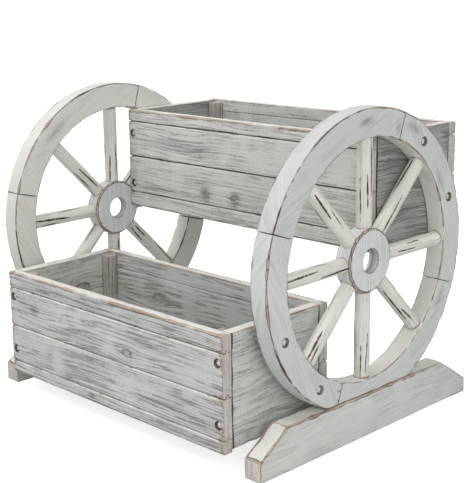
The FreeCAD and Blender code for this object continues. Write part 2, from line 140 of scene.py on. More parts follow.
def smoothstep(value: Array, low: float, high: float) -> Array:
    """Smooth rise from 0 to 1.

    Args:
        value: Any array.
        low: Where the rise starts.
        high: Where it ends.

    Returns:
        t * t * (3 - 2t), with t the clipped share of the way from low to high.
    """
    share = np.clip((value - low) / (high - low), 0.0, 1.0)
    return share * share * (3.0 - 2.0 * share)


def wander(position: Array, seed: int, lengths: tuple[float, ...]) -> Array:
    """Smooth random field between about -1 and 1.

    The field is the hyperbolic tangent of a mean of sine waves: three for each
    wave length, each with its own random direction and phase.

    Args:
        position: Points in the last axis.
        seed: Seed of the directions and phases.
        lengths: Wave lengths in metres.

    Returns:
        One value for each point.
    """
    rng = np.random.default_rng(seed)
    total = np.zeros(position.shape[:-1])
    for length in lengths:
        for _ in range(3):
            direction = rng.normal(size=position.shape[-1])
            direction /= np.linalg.norm(direction)
            phase = rng.uniform(0.0, 2.0 * math.pi)
            total += np.sin(2.0 * math.pi * (position @ direction) / length + phase)
    return np.tanh(total / (1.4 * len(lengths)))


@dataclass(frozen=True)
class Section:
    """A closed section with rounded corners.

    Attributes:
        corners: Its corners as rows of a and b.
        radius: Length that a corner's rounding takes off each side.
        step: Distance between points on the long sides.
        points: Points on each rounded corner.
    """

    corners: Array
    radius: float
    step: float
    points: int = 4

    def drawn_in(self, inset: float) -> Array:
        """The corners with every side moved into the section.

        A corner between sides with inward normals m and n moves by
        inset * (m + n) / (1 + m . n).

        Args:
            inset: Distance that the sides move.

        Returns:
            The moved corners.
        """
        side = np.roll(self.corners, -1, axis=0) - self.corners
        side /= np.linalg.norm(side, axis=1)[:, None]
        x, y = self.corners.T
        area = float(np.sum(x * np.roll(y, -1) - y * np.roll(x, -1)))
        after = np.stack([-side[:, 1], side[:, 0]], axis=1) * np.sign(area)
        before = np.roll(after, 1, axis=0)
        spread = 1.0 + np.sum(after * before, axis=1)[:, None]
        return self.corners + inset * (after + before) / spread

    def softened(self, inset: float) -> Array:
        """The drawn-in corners, rounded.

        A corner p between unit directions d (in) and e (out) becomes the curve
        p - r d (1 - t)^2 + r e t^2 with t from 0 to 1.

        Args:
            inset: Distance that the sides move in.

        Returns:
            One block of points for each corner.
        """
        corners = self.drawn_in(inset)
        before = corners - np.roll(corners, 1, axis=0)
        after = np.roll(corners, -1, axis=0) - corners
        size_before = np.linalg.norm(before, axis=1)
        size_after = np.linalg.norm(after, axis=1)
        shorter = np.minimum(size_before, size_after)
        radius = max(self.radius - 0.5 * inset, 0.3 * self.radius)
        cut = np.minimum(radius, 0.4 * shorter)[:, None, None]
        share = np.linspace(0.0, 1.0, self.points)[None, :, None]
        into = (before / size_before[:, None])[:, None, :]
        out = (after / size_after[:, None])[:, None, :]
        return corners[:, None, :] - cut * into * (1.0 - share) ** 2 + cut * out * share**2

    def ring(self, inset: float = 0.0) -> Array:
        """The section's points, the same number for any inset.

        Args:
            inset: Distance that the sides move in.

        Returns:
            The rounded corners with the long sides divided into steps.
        """
        plain, blocks = self.softened(0.0), self.softened(inset)
        rows = []
        for index, block in enumerate(blocks):
            following = (index + 1) % len(blocks)
            length = float(np.linalg.norm(plain[following, 0] - plain[index, -1]))
            count = max(1, round(length / self.step))
            share = np.linspace(0.0, 1.0, count + 1)[1:-1, None]
            rows += [block, block[-1] + (blocks[following, 0] - block[-1]) * share]
        return np.concatenate(rows)


@dataclass(frozen=True)
class Disc:
    """A round section."""

    radius: float
    sides: int

    def ring(self, inset: float = 0.0) -> Array:
        """Points at even angles on the circle, drawn in by the inset."""
        turn = np.linspace(0.0, 2.0 * math.pi, self.sides, endpoint=False)
        return (self.radius - inset) * np.stack([np.cos(turn), np.sin(turn)], axis=1)


@dataclass(frozen=True)
class Knot:
    """A knot in a board: its place, its radius and how dark it is."""

    along: float
    across: float
    radius: float
    darkness: float = 1.0


@dataclass(frozen=True)
class Smudge:
    """A dark patch of streaks: its middle, half sizes, strength and waviness."""

    along: float
    across: float
    half_length: float
    half_width: float
    strength: float = 1.0
    tangle: float = 0.16


@dataclass
class Skin:
    """A closed surface of rings, with what the paint shader reads on it.

    s runs along the piece, and a and b are the two directions of its section.
    """

    s: Array
    a: Array
    b: Array
    place: Place
    seed: int
    closed: bool = False
    # soot holds soot, and painted shade in joints, corners and holes; bright holds thick white
    # paint, and painted highlight on tops and lit arrises; shade holds painted shade, drawn as dark
    # grain.
    dent: Array = field(init=False)
    worn: Array = field(init=False)
    soot: Array = field(init=False)
    split: Array = field(init=False)
    bright: Array = field(init=False)
    ring: Array = field(init=False)
    edge: Array = field(init=False)
    seam: Array = field(init=False)
    shade: Array = field(init=False)
    grain: Array = field(init=False)

    def __post_init__(self) -> None:
        """Start with clean paint and with grain that runs along the piece."""
        self.dent = np.zeros_like(self.s)
        self.worn = np.zeros_like(self.s)
        self.soot = np.zeros_like(self.s)
        self.split = np.zeros_like(self.s)
        self.bright = np.zeros_like(self.s)
        self.ring = np.full_like(self.s, 3.0)
        self.edge = np.full_like(self.s, FAR)
        self.seam = np.full_like(self.s, FAR)
        self.shade = np.zeros_like(self.s)
        self.grain = np.stack([self.s, self.b + self.a], axis=-1)

    @property
    def sabs(self) -> Array:
        """The three coordinates of the piece's own space, in the last axis."""
        return np.stack([self.s, self.a, self.b], axis=-1)

    def darken(self, soot: Array) -> None:
        """Raise the soot and painted shade to at least the given values."""
        self.soot = np.maximum(self.soot, soot)

    def sag(
        self, depth: float, lengths: tuple[float, ...], position: Array | None = None
    ) -> None:
        """Let the faces wave inwards by depth * (1 + a smooth random field).

        Args:
            depth: Mean depth of the waves.
            lengths: Their lengths.
            position: Where the field is read, the piece's own space by default.
        """
        where = self.sabs if position is None else position
        self.dent += depth * (1.0 + wander(where, self.seed + Draw.SAG, lengths))

    def cloud(
        self, strength: float, lengths: tuple[float, ...], low: float, high: float
    ) -> None:
        """Darken broad patches, where a smooth random field rises past low.

        Args:
            strength: Soot where the field reaches high.
            lengths: Wave lengths of the field.
            low: Value of the field at which the soot starts.
            high: Value at which it is full.
        """
        patches = wander(self.sabs, self.seed + Draw.PATCHES, lengths)
        self.darken(strength * smoothstep(patches, low, high))

    def wear_arris(
        self, distance: Array, reach: float, strength: float, unevenness: float = 0.5
    ) -> None:
        """Wear paint off near an arris.

        The wear is strength * exp(-distance / reach), times 1 plus a smooth
        random field that varies along the arris.

        Args:
            distance: Distance of each point from the arris.
            reach: Distance at which the wear falls to a third.
            strength: Wear on the arris itself, where 1 is bare wood.
            unevenness: Share of the random field.
        """
        field_value = wander(self.sabs, self.seed + Draw.WEAR, (0.11, 0.045, 0.02))
        worn = strength * np.exp(-distance / reach) * (1.0 + unevenness * field_value)
        self.worn = np.maximum(self.worn, worn)

    def rub(self, distance: Array, width: float, unevenness: float = 0.45) -> None:
        """Rub an arris down to a band of bare wood with a dark line beside it.

        The edge distance is distance / width, divided by 1 plus a smooth random
        field along the arris. The shader bares the wood where it is under 1.

        Args:
            distance: Distance of each point from the arris.
            width: Width of the bare band.
            unevenness: Share of the random field.
        """
        vary = 1.0 + unevenness * wander(self.sabs, self.seed + Draw.RUB, (0.13, 0.05, 0.021))
        self.edge = np.minimum(self.edge, distance / (width * vary))

    def line(self, distance: Array, width: float, unevenness: float = 0.5) -> None:
        """Draw a black uneven line, as the open seam between two pieces, and as painted shade round
        the mouth of a counterbore.

        The seam distance is distance / width, divided by 1 plus a smooth random
        field. The shader draws black where it is under 1.

        Args:
            distance: Distance of each point from the line's middle.
            width: Half width of the line.
            unevenness: Share of the random field.
        """
        vary = 1.0 + unevenness * wander(self.sabs, self.seed + Draw.LINE, (0.09, 0.035))
        self.seam = np.minimum(self.seam, distance / (width * vary))

    def whiten(self, distance: Array, reach: float, strength: float) -> None:
        """Leave white paint, as thick paint and as painted highlight on tops and lit arrises:
        strength * exp(-distance / reach).

        Args:
            distance: Distance of each point from the whitest paint.
            reach: Distance at which it falls to a third.
            strength: Strength there, where 1 is plain white.
        """
        vary = 1.0 + 0.5 * wander(self.sabs, self.seed + Draw.WHITE, (0.09, 0.035))
        self.bright = np.maximum(self.bright, strength * vary * np.exp(-distance / reach))

    def smudge(self, marks: tuple[Smudge, ...], across: Array) -> None:
        """Gather dark streaks in patches, and make them wavy there.

        The fall is a Gaussian in s and in across. The grain wanders by the
        patch's tangle times its half width times the fall.

        Args:
            marks: The patches.
            across: The coordinate that their place across is measured in.
        """
        for mark in marks:
            reach = ((self.s - mark.along) / mark.half_length) ** 2
            reach = reach + ((across - mark.across) / mark.half_width) ** 2
            fall = np.exp(-reach)
            self.bright *= 1.0 - 0.9 * fall
            self.darken(mark.strength * fall)
            tangle = wander(self.sabs, self.seed + Draw.TANGLE, (0.030, 0.011))
            self.grain[..., 1] += mark.tangle * mark.half_width * tangle * fall

    def knot(self, knots: tuple[Knot, ...], across: Array) -> None:
        """Turn the grain round knots.

        The squared distance q from a knot counts lengths along the grain at
        half. Grain lines keep clear of the knot: the across coordinate loses
        (across - knot) * r^2 / (q + r^2), and is tangled close to it.

        Args:
            knots: The knots.
            across: The coordinate that their place across is measured in.
        """
        for knot in knots:
            offset = across - knot.across
            squared = ((self.s - knot.along) / 1.9) ** 2 + offset**2
            size = (1.7 * knot.radius) ** 2
            self.grain[..., 1] -= offset * size / (squared + size)
            close = np.exp(-squared / (1.6 * knot.radius) ** 2)
            tangle = wander(self.sabs, self.seed + Draw.KNOT, (0.011, 0.006))
            self.grain[..., 1] += 0.0016 * tangle * close
            self.ring = np.minimum(self.ring, np.sqrt(squared) / knot.radius)
            glow = knot.darkness * np.exp(-squared / (2.2 * knot.radius) ** 2)
            self.darken(glow)

    def knock(self, spots: Array, reach: float, depth: float, bare: float = 0.95) -> None:
        """Press dents into the surface and bare the wood there.

        Args:
            spots: Rows of s, a and b, the middles of the dents.
            reach: Radius of a dent in metres, varied from 0.5 to 1.6 times.
            depth: Depth of a dent in metres, varied the same way.
            bare: Wear in the middle of a dent.
        """
        rng = np.random.default_rng(self.seed + Draw.KNOCKS)
        for spot in spots:
            size = reach * rng.uniform(0.5, 1.6)
            stretch = rng.uniform(1.0, 2.6)
            gap = (self.s - spot[0]) ** 2 / (size * stretch) ** 2
            gap = gap + ((self.a - spot[1]) ** 2 + (self.b - spot[2]) ** 2) / size**2
            fall = np.exp(-1.5 * gap)
            self.dent += depth * rng.uniform(0.5, 1.6) * fall
            self.worn = np.maximum(self.worn, bare * fall)

    def points(self) -> Array:
        """Every ring's points in the frame of the CAD, dents pressed in.

        Returns:
            An array of rings, points and coordinates. The normal of a point is
            the cross product of the grid's two differences there.
        """
        grid = self.place(self.s, self.a, self.b)
        round_ring = np.roll(grid, -1, axis=1) - np.roll(grid, 1, axis=1)
        if self.closed:
            onward = np.roll(grid, -1, axis=0) - np.roll(grid, 1, axis=0)
        else:
            onward = np.gradient(grid, axis=0)
        normal = np.cross(round_ring, onward)
        normal /= np.linalg.norm(normal, axis=-1)[..., None] + 1e-12
        if signed_volume(grid, self.closed) < 0.0:
            normal = -normal
        return grid - normal * self.dent[..., None]


def ring_faces(rings: int, size: int, closed: bool) -> list[list[int]]:
    """Faces of a tube of rings: quads between rings, and a cap on each end.

    Args:
        rings: Number of rings.
        size: Points in a ring.
        closed: True where the last ring meets the first, with no caps.

    Returns:
        Faces that all turn the same way, the two caps last.
    """
    index = np.arange(rings * size).reshape(rings, size)
    low = index if closed else index[:-1]
    high = np.roll(index, -1, axis=0) if closed else index[1:]
    turn = [low, np.roll(low, -1, axis=1), np.roll(high, -1, axis=1), high]
    faces = np.stack(turn, axis=-1).reshape(-1, 4).tolist()
    if not closed:
        faces += [index[0][::-1].tolist(), index[-1].tolist()]
    return faces


def signed_volume(grid: Array, closed: bool) -> float:
    """Volume inside a tube of rings, negative where its faces point inwards.

    It is the sum of a . (b x c) / 6 over triangles, two for each quad, and a
    fan of them for each cap, all from the middle of the grid.
    """
    middle = grid.reshape(-1, 3).mean(axis=0)
    shifted = grid - middle
    low = shifted if closed else shifted[:-1]
    high = np.roll(shifted, -1, axis=0) if closed else shifted[1:]
    low_next, high_next = np.roll(low, -1, axis=1), np.roll(high, -1, axis=1)
    total = np.sum(low * np.cross(low_next, high_next))
    total += np.sum(low * np.cross(high_next, high))
    if not closed:
        for ring, sign in ((shifted[0], -1.0), (shifted[-1], 1.0)):
            centre = ring.mean(axis=0)
            total += sign * np.sum(centre * np.cross(ring, np.roll(ring, -1, axis=0)))
    return float(total) / 6.0


def bar(
    section: Section | Disc, places: Array, end_round: float
) -> tuple[Array, Array, Array]:
    """Carry a section along s, with the arrises of both ends rounded.

    The end rings lie at end_round * (1 - sin t) from the end, and the section
    is drawn in there by end_round * (1 - cos t), with t from 90 degrees at the
    end down to 0 where the plain length starts.

    Args:
        section: The section.
        places: Values of s for the rings, both ends included.
        end_round: Radius of the rounded arris.

    Returns:
        The arrays s, a and b, one row for each ring.
    """
    low, high = float(places[0]), float(places[-1])
    turn = np.radians([90.0, 55.0, 25.0])
    back_off = end_round * (1.0 - np.sin(turn))
    draw_in = end_round * (1.0 - np.cos(turn))
    plain = places[(places > low + 1.2 * end_round) & (places < high - 1.2 * end_round)]
    s = np.concatenate(
        [low + back_off, [low + end_round], plain, [high - end_round], high - back_off[::-1]]
    )
    whole = section.ring()
    ends = np.stack([section.ring(inset) for inset in draw_in])
    still = np.broadcast_to(whole, (len(plain) + 2, *whole.shape))
    grid = np.concatenate([ends, still, ends[::-1]])
    return np.broadcast_to(s[:, None], grid.shape[:2]).copy(), grid[..., 0], grid[..., 1]


def steps(low: float, high: float, step: float) -> Array:
    """Evenly spaced values from low to high, about a step apart."""
    return np.linspace(low, high, max(2, round((high - low) / step) + 1))


# ---------------------------------------------------------------------------
# Cutters and pieces

Drills = tuple[list["Drill"], ...]
# Marks on the walls of drilled holes: a dark line, dark lips, soot, and painted shade that darkens
# the walls as recesses in shade.
BORED = {"edge": 1.3, "seam": FAR, "ring": FAR, "soot": 0.6, "split": 0.22, "shade": 0.7}


@dataclass(frozen=True)
class Drill:
    """A straight round hole: where it starts, its way, radius and depth."""

    start: tuple[float, float, float]
    way: tuple[float, float, float]
    radius: float
    depth: float

    def mesh_parts(self, sides: int = 40) -> tuple[Array, list[list[int]]]:
        """The hole as a closed cylinder.

        Args:
            sides: Sides of the cylinder.

        Returns:
            Its points and faces. A point is the axis point plus the radius
            times the cosine and sine of its angle, along two directions that
            are square to the axis.
        """
        way = np.array(self.way, float)
        way /= np.linalg.norm(way)
        other = np.array([0.0, 0.0, 1.0]) if abs(way[2]) < 0.9 else np.array([0.0, 1.0, 0.0])
        first = np.cross(other, way)
        first /= np.linalg.norm(first)
        second = np.cross(way, first)
        angle = (np.linspace(0.0, 2.0 * math.pi, sides, endpoint=False) + 0.041)[:, None]
        circle = self.radius * (np.cos(angle) * first + np.sin(angle) * second)
        low = np.array(self.start, float) - way * 0.002
        high = np.array(self.start, float) + way * self.depth
        grid = np.stack([low + circle, high + circle])
        faces = ring_faces(2, sides, False)
        if signed_volume(grid, False) < 0.0:
            faces = [face[::-1] for face in faces]
        return grid.reshape(-1, 3), faces


def drill_out(piece: Object, groups: Drills) -> None:
    """Cut holes into a piece with a boolean modifier, then apply it.

    Args:
        piece: The piece.
        groups: Its holes. The groups are cut one after another, so that holes
        of different groups may overlap. Their walls are partly bare, and
        darkened with painted shade.
    """
    for group in groups:
        if not group:
            continue
        points: list[Array] = []
        faces: list[list[int]] = []
        for drill in group:
            drill_points, drill_faces = drill.mesh_parts()
            base = sum(len(block) for block in points)
            faces += [[base + corner for corner in face] for face in drill_faces]
            points.append(drill_points)
        tool_mesh = bpy.data.meshes.new("drill_tool")
        tool_mesh.from_pydata(np.concatenate(points).tolist(), [], faces)
        for word, value in BORED.items():
            bored = tool_mesh.attributes.new(word, "FLOAT", "CORNER")
            bored.data.foreach_set("value", np.full(len(tool_mesh.loops), value, np.float32))
        tool = bpy.data.objects.new("drill_tool", tool_mesh)
        bpy.context.scene.collection.objects.link(tool)
        cut = piece.modifiers.new("drill", "BOOLEAN")
        cut.operation, cut.solver, cut.object = "DIFFERENCE", "EXACT", tool
        graph = bpy.context.evaluated_depsgraph_get()
        drilled = bpy.data.meshes.new_from_object(
            piece.evaluated_get(graph), preserve_all_data_layers=True, depsgraph=graph
        )
        piece.modifiers.clear()
        old = piece.data
        piece.data = drilled
        bpy.data.meshes.remove(old)
        bpy.data.objects.remove(tool)
        bpy.data.meshes.remove(tool_mesh)


def make_piece(
    name: str,
    skin: Skin,
    node: str,
    finish: Material,
    drills: Drills = (),
) -> Object:
    """Turn a skin into a piece that stands for a CAD node.

    Args:
        name: Name of the piece.
        skin: Its surface and marks.
        node: The CAD node that it replaces.
        finish: Its material.
        drills: Groups of holes cut into it.

    Returns:
        The piece, riding on the stand's one body.
    """
    grid = skin.points()
    rings, size = grid.shape[:2]
    faces = ring_faces(rings, size, skin.closed)
    if signed_volume(grid, skin.closed) < 0.0:
        faces = [face[::-1] for face in faces]
    mesh = bpy.data.meshes.new(name)
    mesh.from_pydata(grid.reshape(-1, 3).tolist(), [], faces)
    paint_corners(mesh, skin, caps_from=len(faces) if skin.closed else len(faces) - 2)
    mesh.materials.append(finish)
    piece = bpy.data.objects.new(name, mesh)
    bpy.context.scene.collection.objects.link(piece)
    if drills:
        drill_out(piece, drills)
    mesh = piece.data
    mesh.name = name
    mesh.polygons.foreach_set("use_smooth", np.ones(len(mesh.polygons), bool))
    mesh.set_sharp_from_angle(angle=math.radians(38.0))
    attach(piece, BODY)
    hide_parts(node)
    LOG.info("%s: %d faces for %s", name, len(mesh.polygons), node)
    return piece


def paint_corners(mesh: bpy.types.Mesh, skin: Skin, caps_from: int) -> None:
    """Write the skin's marks on the corners of a mesh.

    The grain goes into a UV map, and the rest into corner attributes. Corners
    of the caps, from face caps_from on, are marked as end grain.

    Args:
        mesh: The mesh.
        skin: The marks, one value for each point of the rings.
        caps_from: Index of the first cap.
    """
    corners = np.empty(len(mesh.loops), np.int32)
    mesh.loops.foreach_get("vertex_index", corners)
    has_caps = caps_from < len(mesh.polygons)
    first_corner = mesh.polygons[caps_from].loop_start if has_caps else len(corners)
    is_end = np.arange(len(corners)) >= first_corner
    shift = np.random.default_rng(skin.seed).uniform(0.0, 4.0, 2)
    grain = skin.grain.reshape(-1, 2)[corners] + shift
    section = np.stack([skin.a, skin.b], axis=-1).reshape(-1, 2)[corners]
    grain[is_end] = section[is_end][:, ::-1] + shift
    layer = mesh.uv_layers.new(name="grain")
    layer.data.foreach_set("uv", grain.astype(np.float32).ravel())
    tone = np.random.default_rng(skin.seed + Draw.TONE).uniform(-1.0, 1.0)
    # soot carries soot and painted shade; bright carries thick paint and painted highlight; shade
    # is painted shade, half the piece's most on the caps.
    values = {
        "worn": np.where(is_end, 0.38, skin.worn.ravel()[corners]),
        "soot": np.where(is_end, 0.3, skin.soot.ravel()[corners]),
        "split": np.where(is_end, 0.0, skin.split.ravel()[corners]),
        "bright": np.where(is_end, 0.25, skin.bright.ravel()[corners]),
        "ring": np.where(is_end, 3.0, skin.ring.ravel()[corners]),
        "edge": np.where(is_end, FAR, np.minimum(skin.edge, FAR).ravel()[corners]),
        "seam": np.where(is_end, FAR, np.minimum(skin.seam, FAR).ravel()[corners]),
        "shade": np.where(is_end, 0.5 * skin.shade.max(), skin.shade.ravel()[corners]),
        "end_grain": is_end.astype(float),
        "tone": np.full(len(corners), tone),
    }
    for word, value in values.items():
        attribute = mesh.attributes.new(word, "FLOAT", "CORNER")
        attribute.data.foreach_set("value", value.astype(np.float32))


# ---------------------------------------------------------------------------
# Finishes


class Graph:
    """Short words for building a material's nodes."""

    def __init__(self, name: str) -> None:
        """Start an empty material with a Principled shader.

        Args:
            name: Name of the material.
        """
        self.material = bpy.data.materials.new(name)
        self.material.use_nodes = True
        self.tree = self.material.node_tree
        self.tree.nodes.clear()
        self.output = self.tree.nodes.new("ShaderNodeOutputMaterial")
        self.shader = self.tree.nodes.new("ShaderNodeBsdfPrincipled")
        self.link(self.shader.outputs[0], self.output.inputs["Surface"])

    def link(self, source: Socket, target: Socket) -> None:
        """Join two sockets."""
        self.tree.links.new(source, target)

    def feed(self, target: Socket, value: object) -> None:
        """Link a socket or set its value.

        Args:
            target: The input socket.
            value: A socket, a number or a tuple.
        """
        if isinstance(value, Socket):
            self.link(value, target)
        elif isinstance(value, tuple) and len(value) == 3 and target.type == "RGBA":
            target.default_value = (*value, 1.0)
        else:
            target.default_value = value

    def attribute(self, name: str) -> Socket:
        """The value of a corner attribute."""
        node = self.tree.nodes.new("ShaderNodeAttribute")
        node.attribute_name = name
        return node.outputs["Fac"]

    def grain(self) -> Socket:
        """The grain coordinates from the UV map."""
        node = self.tree.nodes.new("ShaderNodeUVMap")
        node.uv_map = "grain"
        return node.outputs["UV"]

    def place(self) -> Socket:
        """Object coordinates."""
        return self.tree.nodes.new("ShaderNodeTexCoord").outputs["Object"]

    def scaled(
        self, vector: Socket, scale: tuple[float, float, float]
    ) -> Socket:
        """A vector with each coordinate multiplied."""
        node = self.tree.nodes.new("ShaderNodeMapping")
        self.link(vector, node.inputs["Vector"])
        node.inputs["Scale"].default_value = scale
        return node.outputs["Vector"]

    def math(self, operation: str, *values: object) -> Socket:
        """A math node.

        Args:
            operation: Its operation.
            values: Sockets or numbers, in order.

        Returns:
            Its result.
        """
        node = self.tree.nodes.new("ShaderNodeMath")
        node.operation = operation
        for target, value in zip(node.inputs, values):
            self.feed(target, value)
        return node.outputs[0]

    def times(self, first: object, second: object) -> Socket:
        """The product of two values."""
        return self.math("MULTIPLY", first, second)

    def times_plus(self, first: object, second: object, third: object) -> Socket:
        """The product of the first two values, plus the third."""
        return self.math("MULTIPLY_ADD", first, second, third)

    def noise(
        self,
        vector: Socket,
        scale: float,
        detail: float = 4.0,
        roughness: float = 0.55,
    ) -> Socket:
        """A noise texture's value between 0 and 1.

        Args:
            vector: Coordinates.
            scale: Features per metre of those coordinates.
            detail: Octaves.
            roughness: Weight of the finer octaves.

        Returns:
            The value socket.
        """
        node = self.tree.nodes.new("ShaderNodeTexNoise")
        self.link(vector, node.inputs["Vector"])
        node.inputs["Scale"].default_value = scale
        node.inputs["Detail"].default_value = detail
        node.inputs["Roughness"].default_value = roughness
        return node.outputs["Fac"]

    def rise(
        self, value: Socket, low: float, high: float, top: float = 1.0
    ) -> Socket:
        """Smooth rise of a value from 0 at low to top at high."""
        node = self.tree.nodes.new("ShaderNodeMapRange")
        node.interpolation_type = "SMOOTHSTEP"
        for word, number in (("From Min", low), ("From Max", high), ("To Max", top)):
            node.inputs[word].default_value = number
        self.feed(node.inputs["Value"], value)
        return node.outputs["Result"]

    def fall(self, value: Socket, low: float, high: float) -> Socket:
        """Smooth fall of a value from 1 at low to 0 at high."""
        return self.math("SUBTRACT", 1.0, self.rise(value, low, high))

    def crest(self, value: Socket, width: float) -> Socket:
        """A line where a value passes 0.5, and 0 where it is width away."""
        away = self.math("ABSOLUTE", self.math("SUBTRACT", value, 0.5))
        return self.fall(away, 0.35 * width, width)

    def mix(self, share: object, first: object, second: object) -> Socket:
        """Blend two colours.

        Args:
            share: Share of the second colour.
            first: First colour.
            second: Second colour.

        Returns:
            The blended colour.
        """
        node = self.tree.nodes.new("ShaderNodeMix")
        node.data_type = "RGBA"
        self.feed(node.inputs["Factor"], share)
        self.feed(node.inputs[6], first)
        self.feed(node.inputs[7], second)
        return node.outputs[2]

    def bump(self, height: Socket, depth: float, strength: float) -> None:
        """Raise the shader's surface by a height.

        Args:
            height: Height between 0 and 1.
            depth: What a height of 1 is in metres.
            strength: Strength of the effect.
        """
        node = self.tree.nodes.new("ShaderNodeBump")
        node.inputs["Strength"].default_value = strength
        node.inputs["Distance"].default_value = depth
        self.link(height, node.inputs["Height"])
        self.link(node.outputs["Normal"], self.shader.inputs["Normal"])


def linear(red: int, green: int, blue: int) -> Colour:
    """A colour from its screen values, 0 to 255, as the shader wants it."""

    def value(channel: int) -> float:
        """One channel, by the usual screen curve."""
        share = channel / 255.0
        return share / 12.92 if share <= 0.04045 else ((share + 0.055) / 1.055) ** 2.4

    return value(red), value(green), value(blue)


@dataclass(frozen=True)
class WornPaint:
    """White-grey paint rubbed through to the wood on edges.

    Attributes:
        name: Name of the material.
        light: Paint where it is thick.
        shade: Paint where it is thin.
        white: Paint that stands thick on arrises, and painted highlight on tops and lit arrises.
        streak: Dark grain that shows through.
        tan: Bare wood, sanded.
        brown: Bare wood, old.
        blush: Bare wood of the ends.
        pith: Seams, and the sides of splits and knots.
        cleft: Middle of splits.
        line: Line beside the bare wood of an arris.
        ink: Strength of that line.
        sound: Share of the arrises where only a line shows, 0 for none.
        fine: Reach of that line, as a share of the bare band's width.
        streaks: Share of dark streaks.
        lines: Contrast of the grain lines.
        clouds: Contrast of the paint's soft patches.
        wear: Added to the wear of the arrises.
        roughness: Roughness of the paint.
    """

    name: str
    light: Colour
    shade: Colour
    white: Colour = linear(236, 234, 225)
    streak: Colour = linear(92, 91, 86)
    tan: Colour = linear(190, 170, 148)
    brown: Colour = linear(120, 94, 72)
    blush: Colour = linear(222, 208, 196)
    pith: Colour = linear(46, 38, 31)
    cleft: Colour = linear(58, 48, 40)
    line: Colour = linear(88, 72, 60)
    ink: float = 0.75
    sound: float = 0.0
    fine: float = 0.35
    streaks: float = 0.6
    lines: float = 0.5
    clouds: float = 0.8
    wear: float = 0.0
    roughness: float = 0.6

    def paint(self, g: Graph) -> tuple[Socket, dict[str, Socket]]:
        """Build the paint's colour before wear, and the fields that it uses.

        Patches of thick and thin paint come first. Fine grain lies over them,
        from noise that is long along the grain and short across it. Thin dark
        lines follow the middle levels of that noise, and fade in and out in
        patches. Dark streaks are its peaks, and soot and painted shade from the
        mesh gather both. Painted shade from the shade attribute comes last, as
        dark grain.

        Args:
            g: The material's graph.

        Returns:
            The colour, and the fields by name.
        """
        grain, place = g.grain(), g.place()
        soot, tone = g.attribute("soot"), g.attribute("tone")
        f = {
            "fibre": g.noise(g.scaled(grain, (5.0, 440.0, 1.0)), 1.0, 5.0, 0.6),
            "hair": g.noise(g.scaled(grain, (11.0, 1000.0, 1.0)), 1.0, 4.0, 0.62),
            "band": g.noise(g.scaled(grain, (3.2, 120.0, 1.0)), 1.0, 4.0, 0.6),
            "cloud": g.noise(place, 10.0, 4.0, 0.6),
            "patch": g.noise(place, 24.0, 3.0, 0.6),
            "speck": g.noise(place, 260.0, 4.0, 0.65),
            "grain": grain,
        }
        lift = g.times_plus(f["patch"], 0.35, g.times(f["cloud"], 0.65))
        lift = g.times_plus(tone, 0.07, lift)
        spread = 0.22 / self.clouds
        colour = g.mix(g.rise(lift, 0.5 - spread, 0.5 + spread), self.shade, self.light)
        comb = g.rise(f["hair"], 0.5, 0.7)
        colour = g.mix(g.times(comb, 0.34 * self.lines), colour, self.streak)
        pale = g.fall(f["fibre"], 0.33, 0.42)
        colour = g.mix(g.times(pale, 0.45 * self.lines), colour, self.white)

        here = g.times_plus(soot, 0.5, f["patch"])
        drawn = g.times(g.crest(f["band"], 0.042), g.rise(here, 0.32, 0.6))
        fine = g.times(g.crest(f["fibre"], 0.05), g.rise(here, 0.36, 0.9))
        f["drawn"] = g.math("MAXIMUM", drawn, g.times(fine, 0.55))
        colour = g.mix(g.times(f["drawn"], 0.8 * self.lines), colour, self.streak)

        gather = g.times_plus(soot, 0.18, g.times(f["patch"], 0.10))
        streak = g.rise(g.math("ADD", f["fibre"], gather), 0.735, 0.80)
        thin = g.rise(g.math("ADD", f["hair"], gather), 0.735, 0.80)
        f["dark"] = g.math("MAXIMUM", streak, g.times(thin, 0.7))
        colour = g.mix(g.times(f["dark"], self.streaks), colour, self.streak)
        haze = g.times(g.rise(soot, 0.2, 1.1), g.rise(f["fibre"], 0.36, 0.6))
        colour = g.mix(g.times(haze, 0.2), colour, self.streak)
        # Painted shade: the shade attribute darkens the paint towards the streak colour, more on
        # the fibres.
        painted_shade = g.times_plus(f["fibre"], 1.6, g.times_plus(f["hair"], 0.8, -0.5))
        painted_shade = g.times(g.attribute("shade"), painted_shade)
        return g.mix(painted_shade, colour, self.streak), f

    def material(self) -> Material:
        """Build the shader.

        Over the paint come thick white paint and painted highlight, the knot's
        rings from its ring distance, bare wood where wear plus noise passes a
        threshold and along rubbed arrises, with a dark line beside it, then
        splits, seams and the painted shade round counterbores.

        Returns:
            The material.
        """
        g = Graph(self.name)
        colour, f = self.paint(g)
        worn, split = g.attribute("worn"), g.attribute("split")
        ring, bright = g.attribute("ring"), g.attribute("bright")
        end_grain = g.attribute("end_grain")
        edge, seam = g.attribute("edge"), g.attribute("seam")
        specks = g.math("SUBTRACT", f["speck"], 0.5)
        fibres = g.math("SUBTRACT", f["fibre"], 0.5)
        ragged = g.times_plus(specks, 1.2, fibres)

        # Thick white paint and painted highlight, from the bright attribute.
        thick = g.times_plus(ragged, 0.5, bright)
        colour = g.mix(g.rise(thick, 0.1, 0.75, 0.85), colour, self.white)

        wave = g.math("SINE", g.times_plus(ring, 11.0, g.times(f["patch"], 7.0)))
        rings = g.times(g.rise(wave, 0.1, 0.8), g.fall(ring, 0.7, 1.6))
        rim = g.math("SUBTRACT", g.rise(ring, 0.5, 0.75), g.rise(ring, 0.85, 1.2))
        broken = g.times(rim, g.rise(f["patch"], 0.42, 0.6))
        colour = g.mix(g.times(rings, 0.4), colour, self.brown)
        colour = g.mix(g.times(broken, 0.6), colour, self.pith)

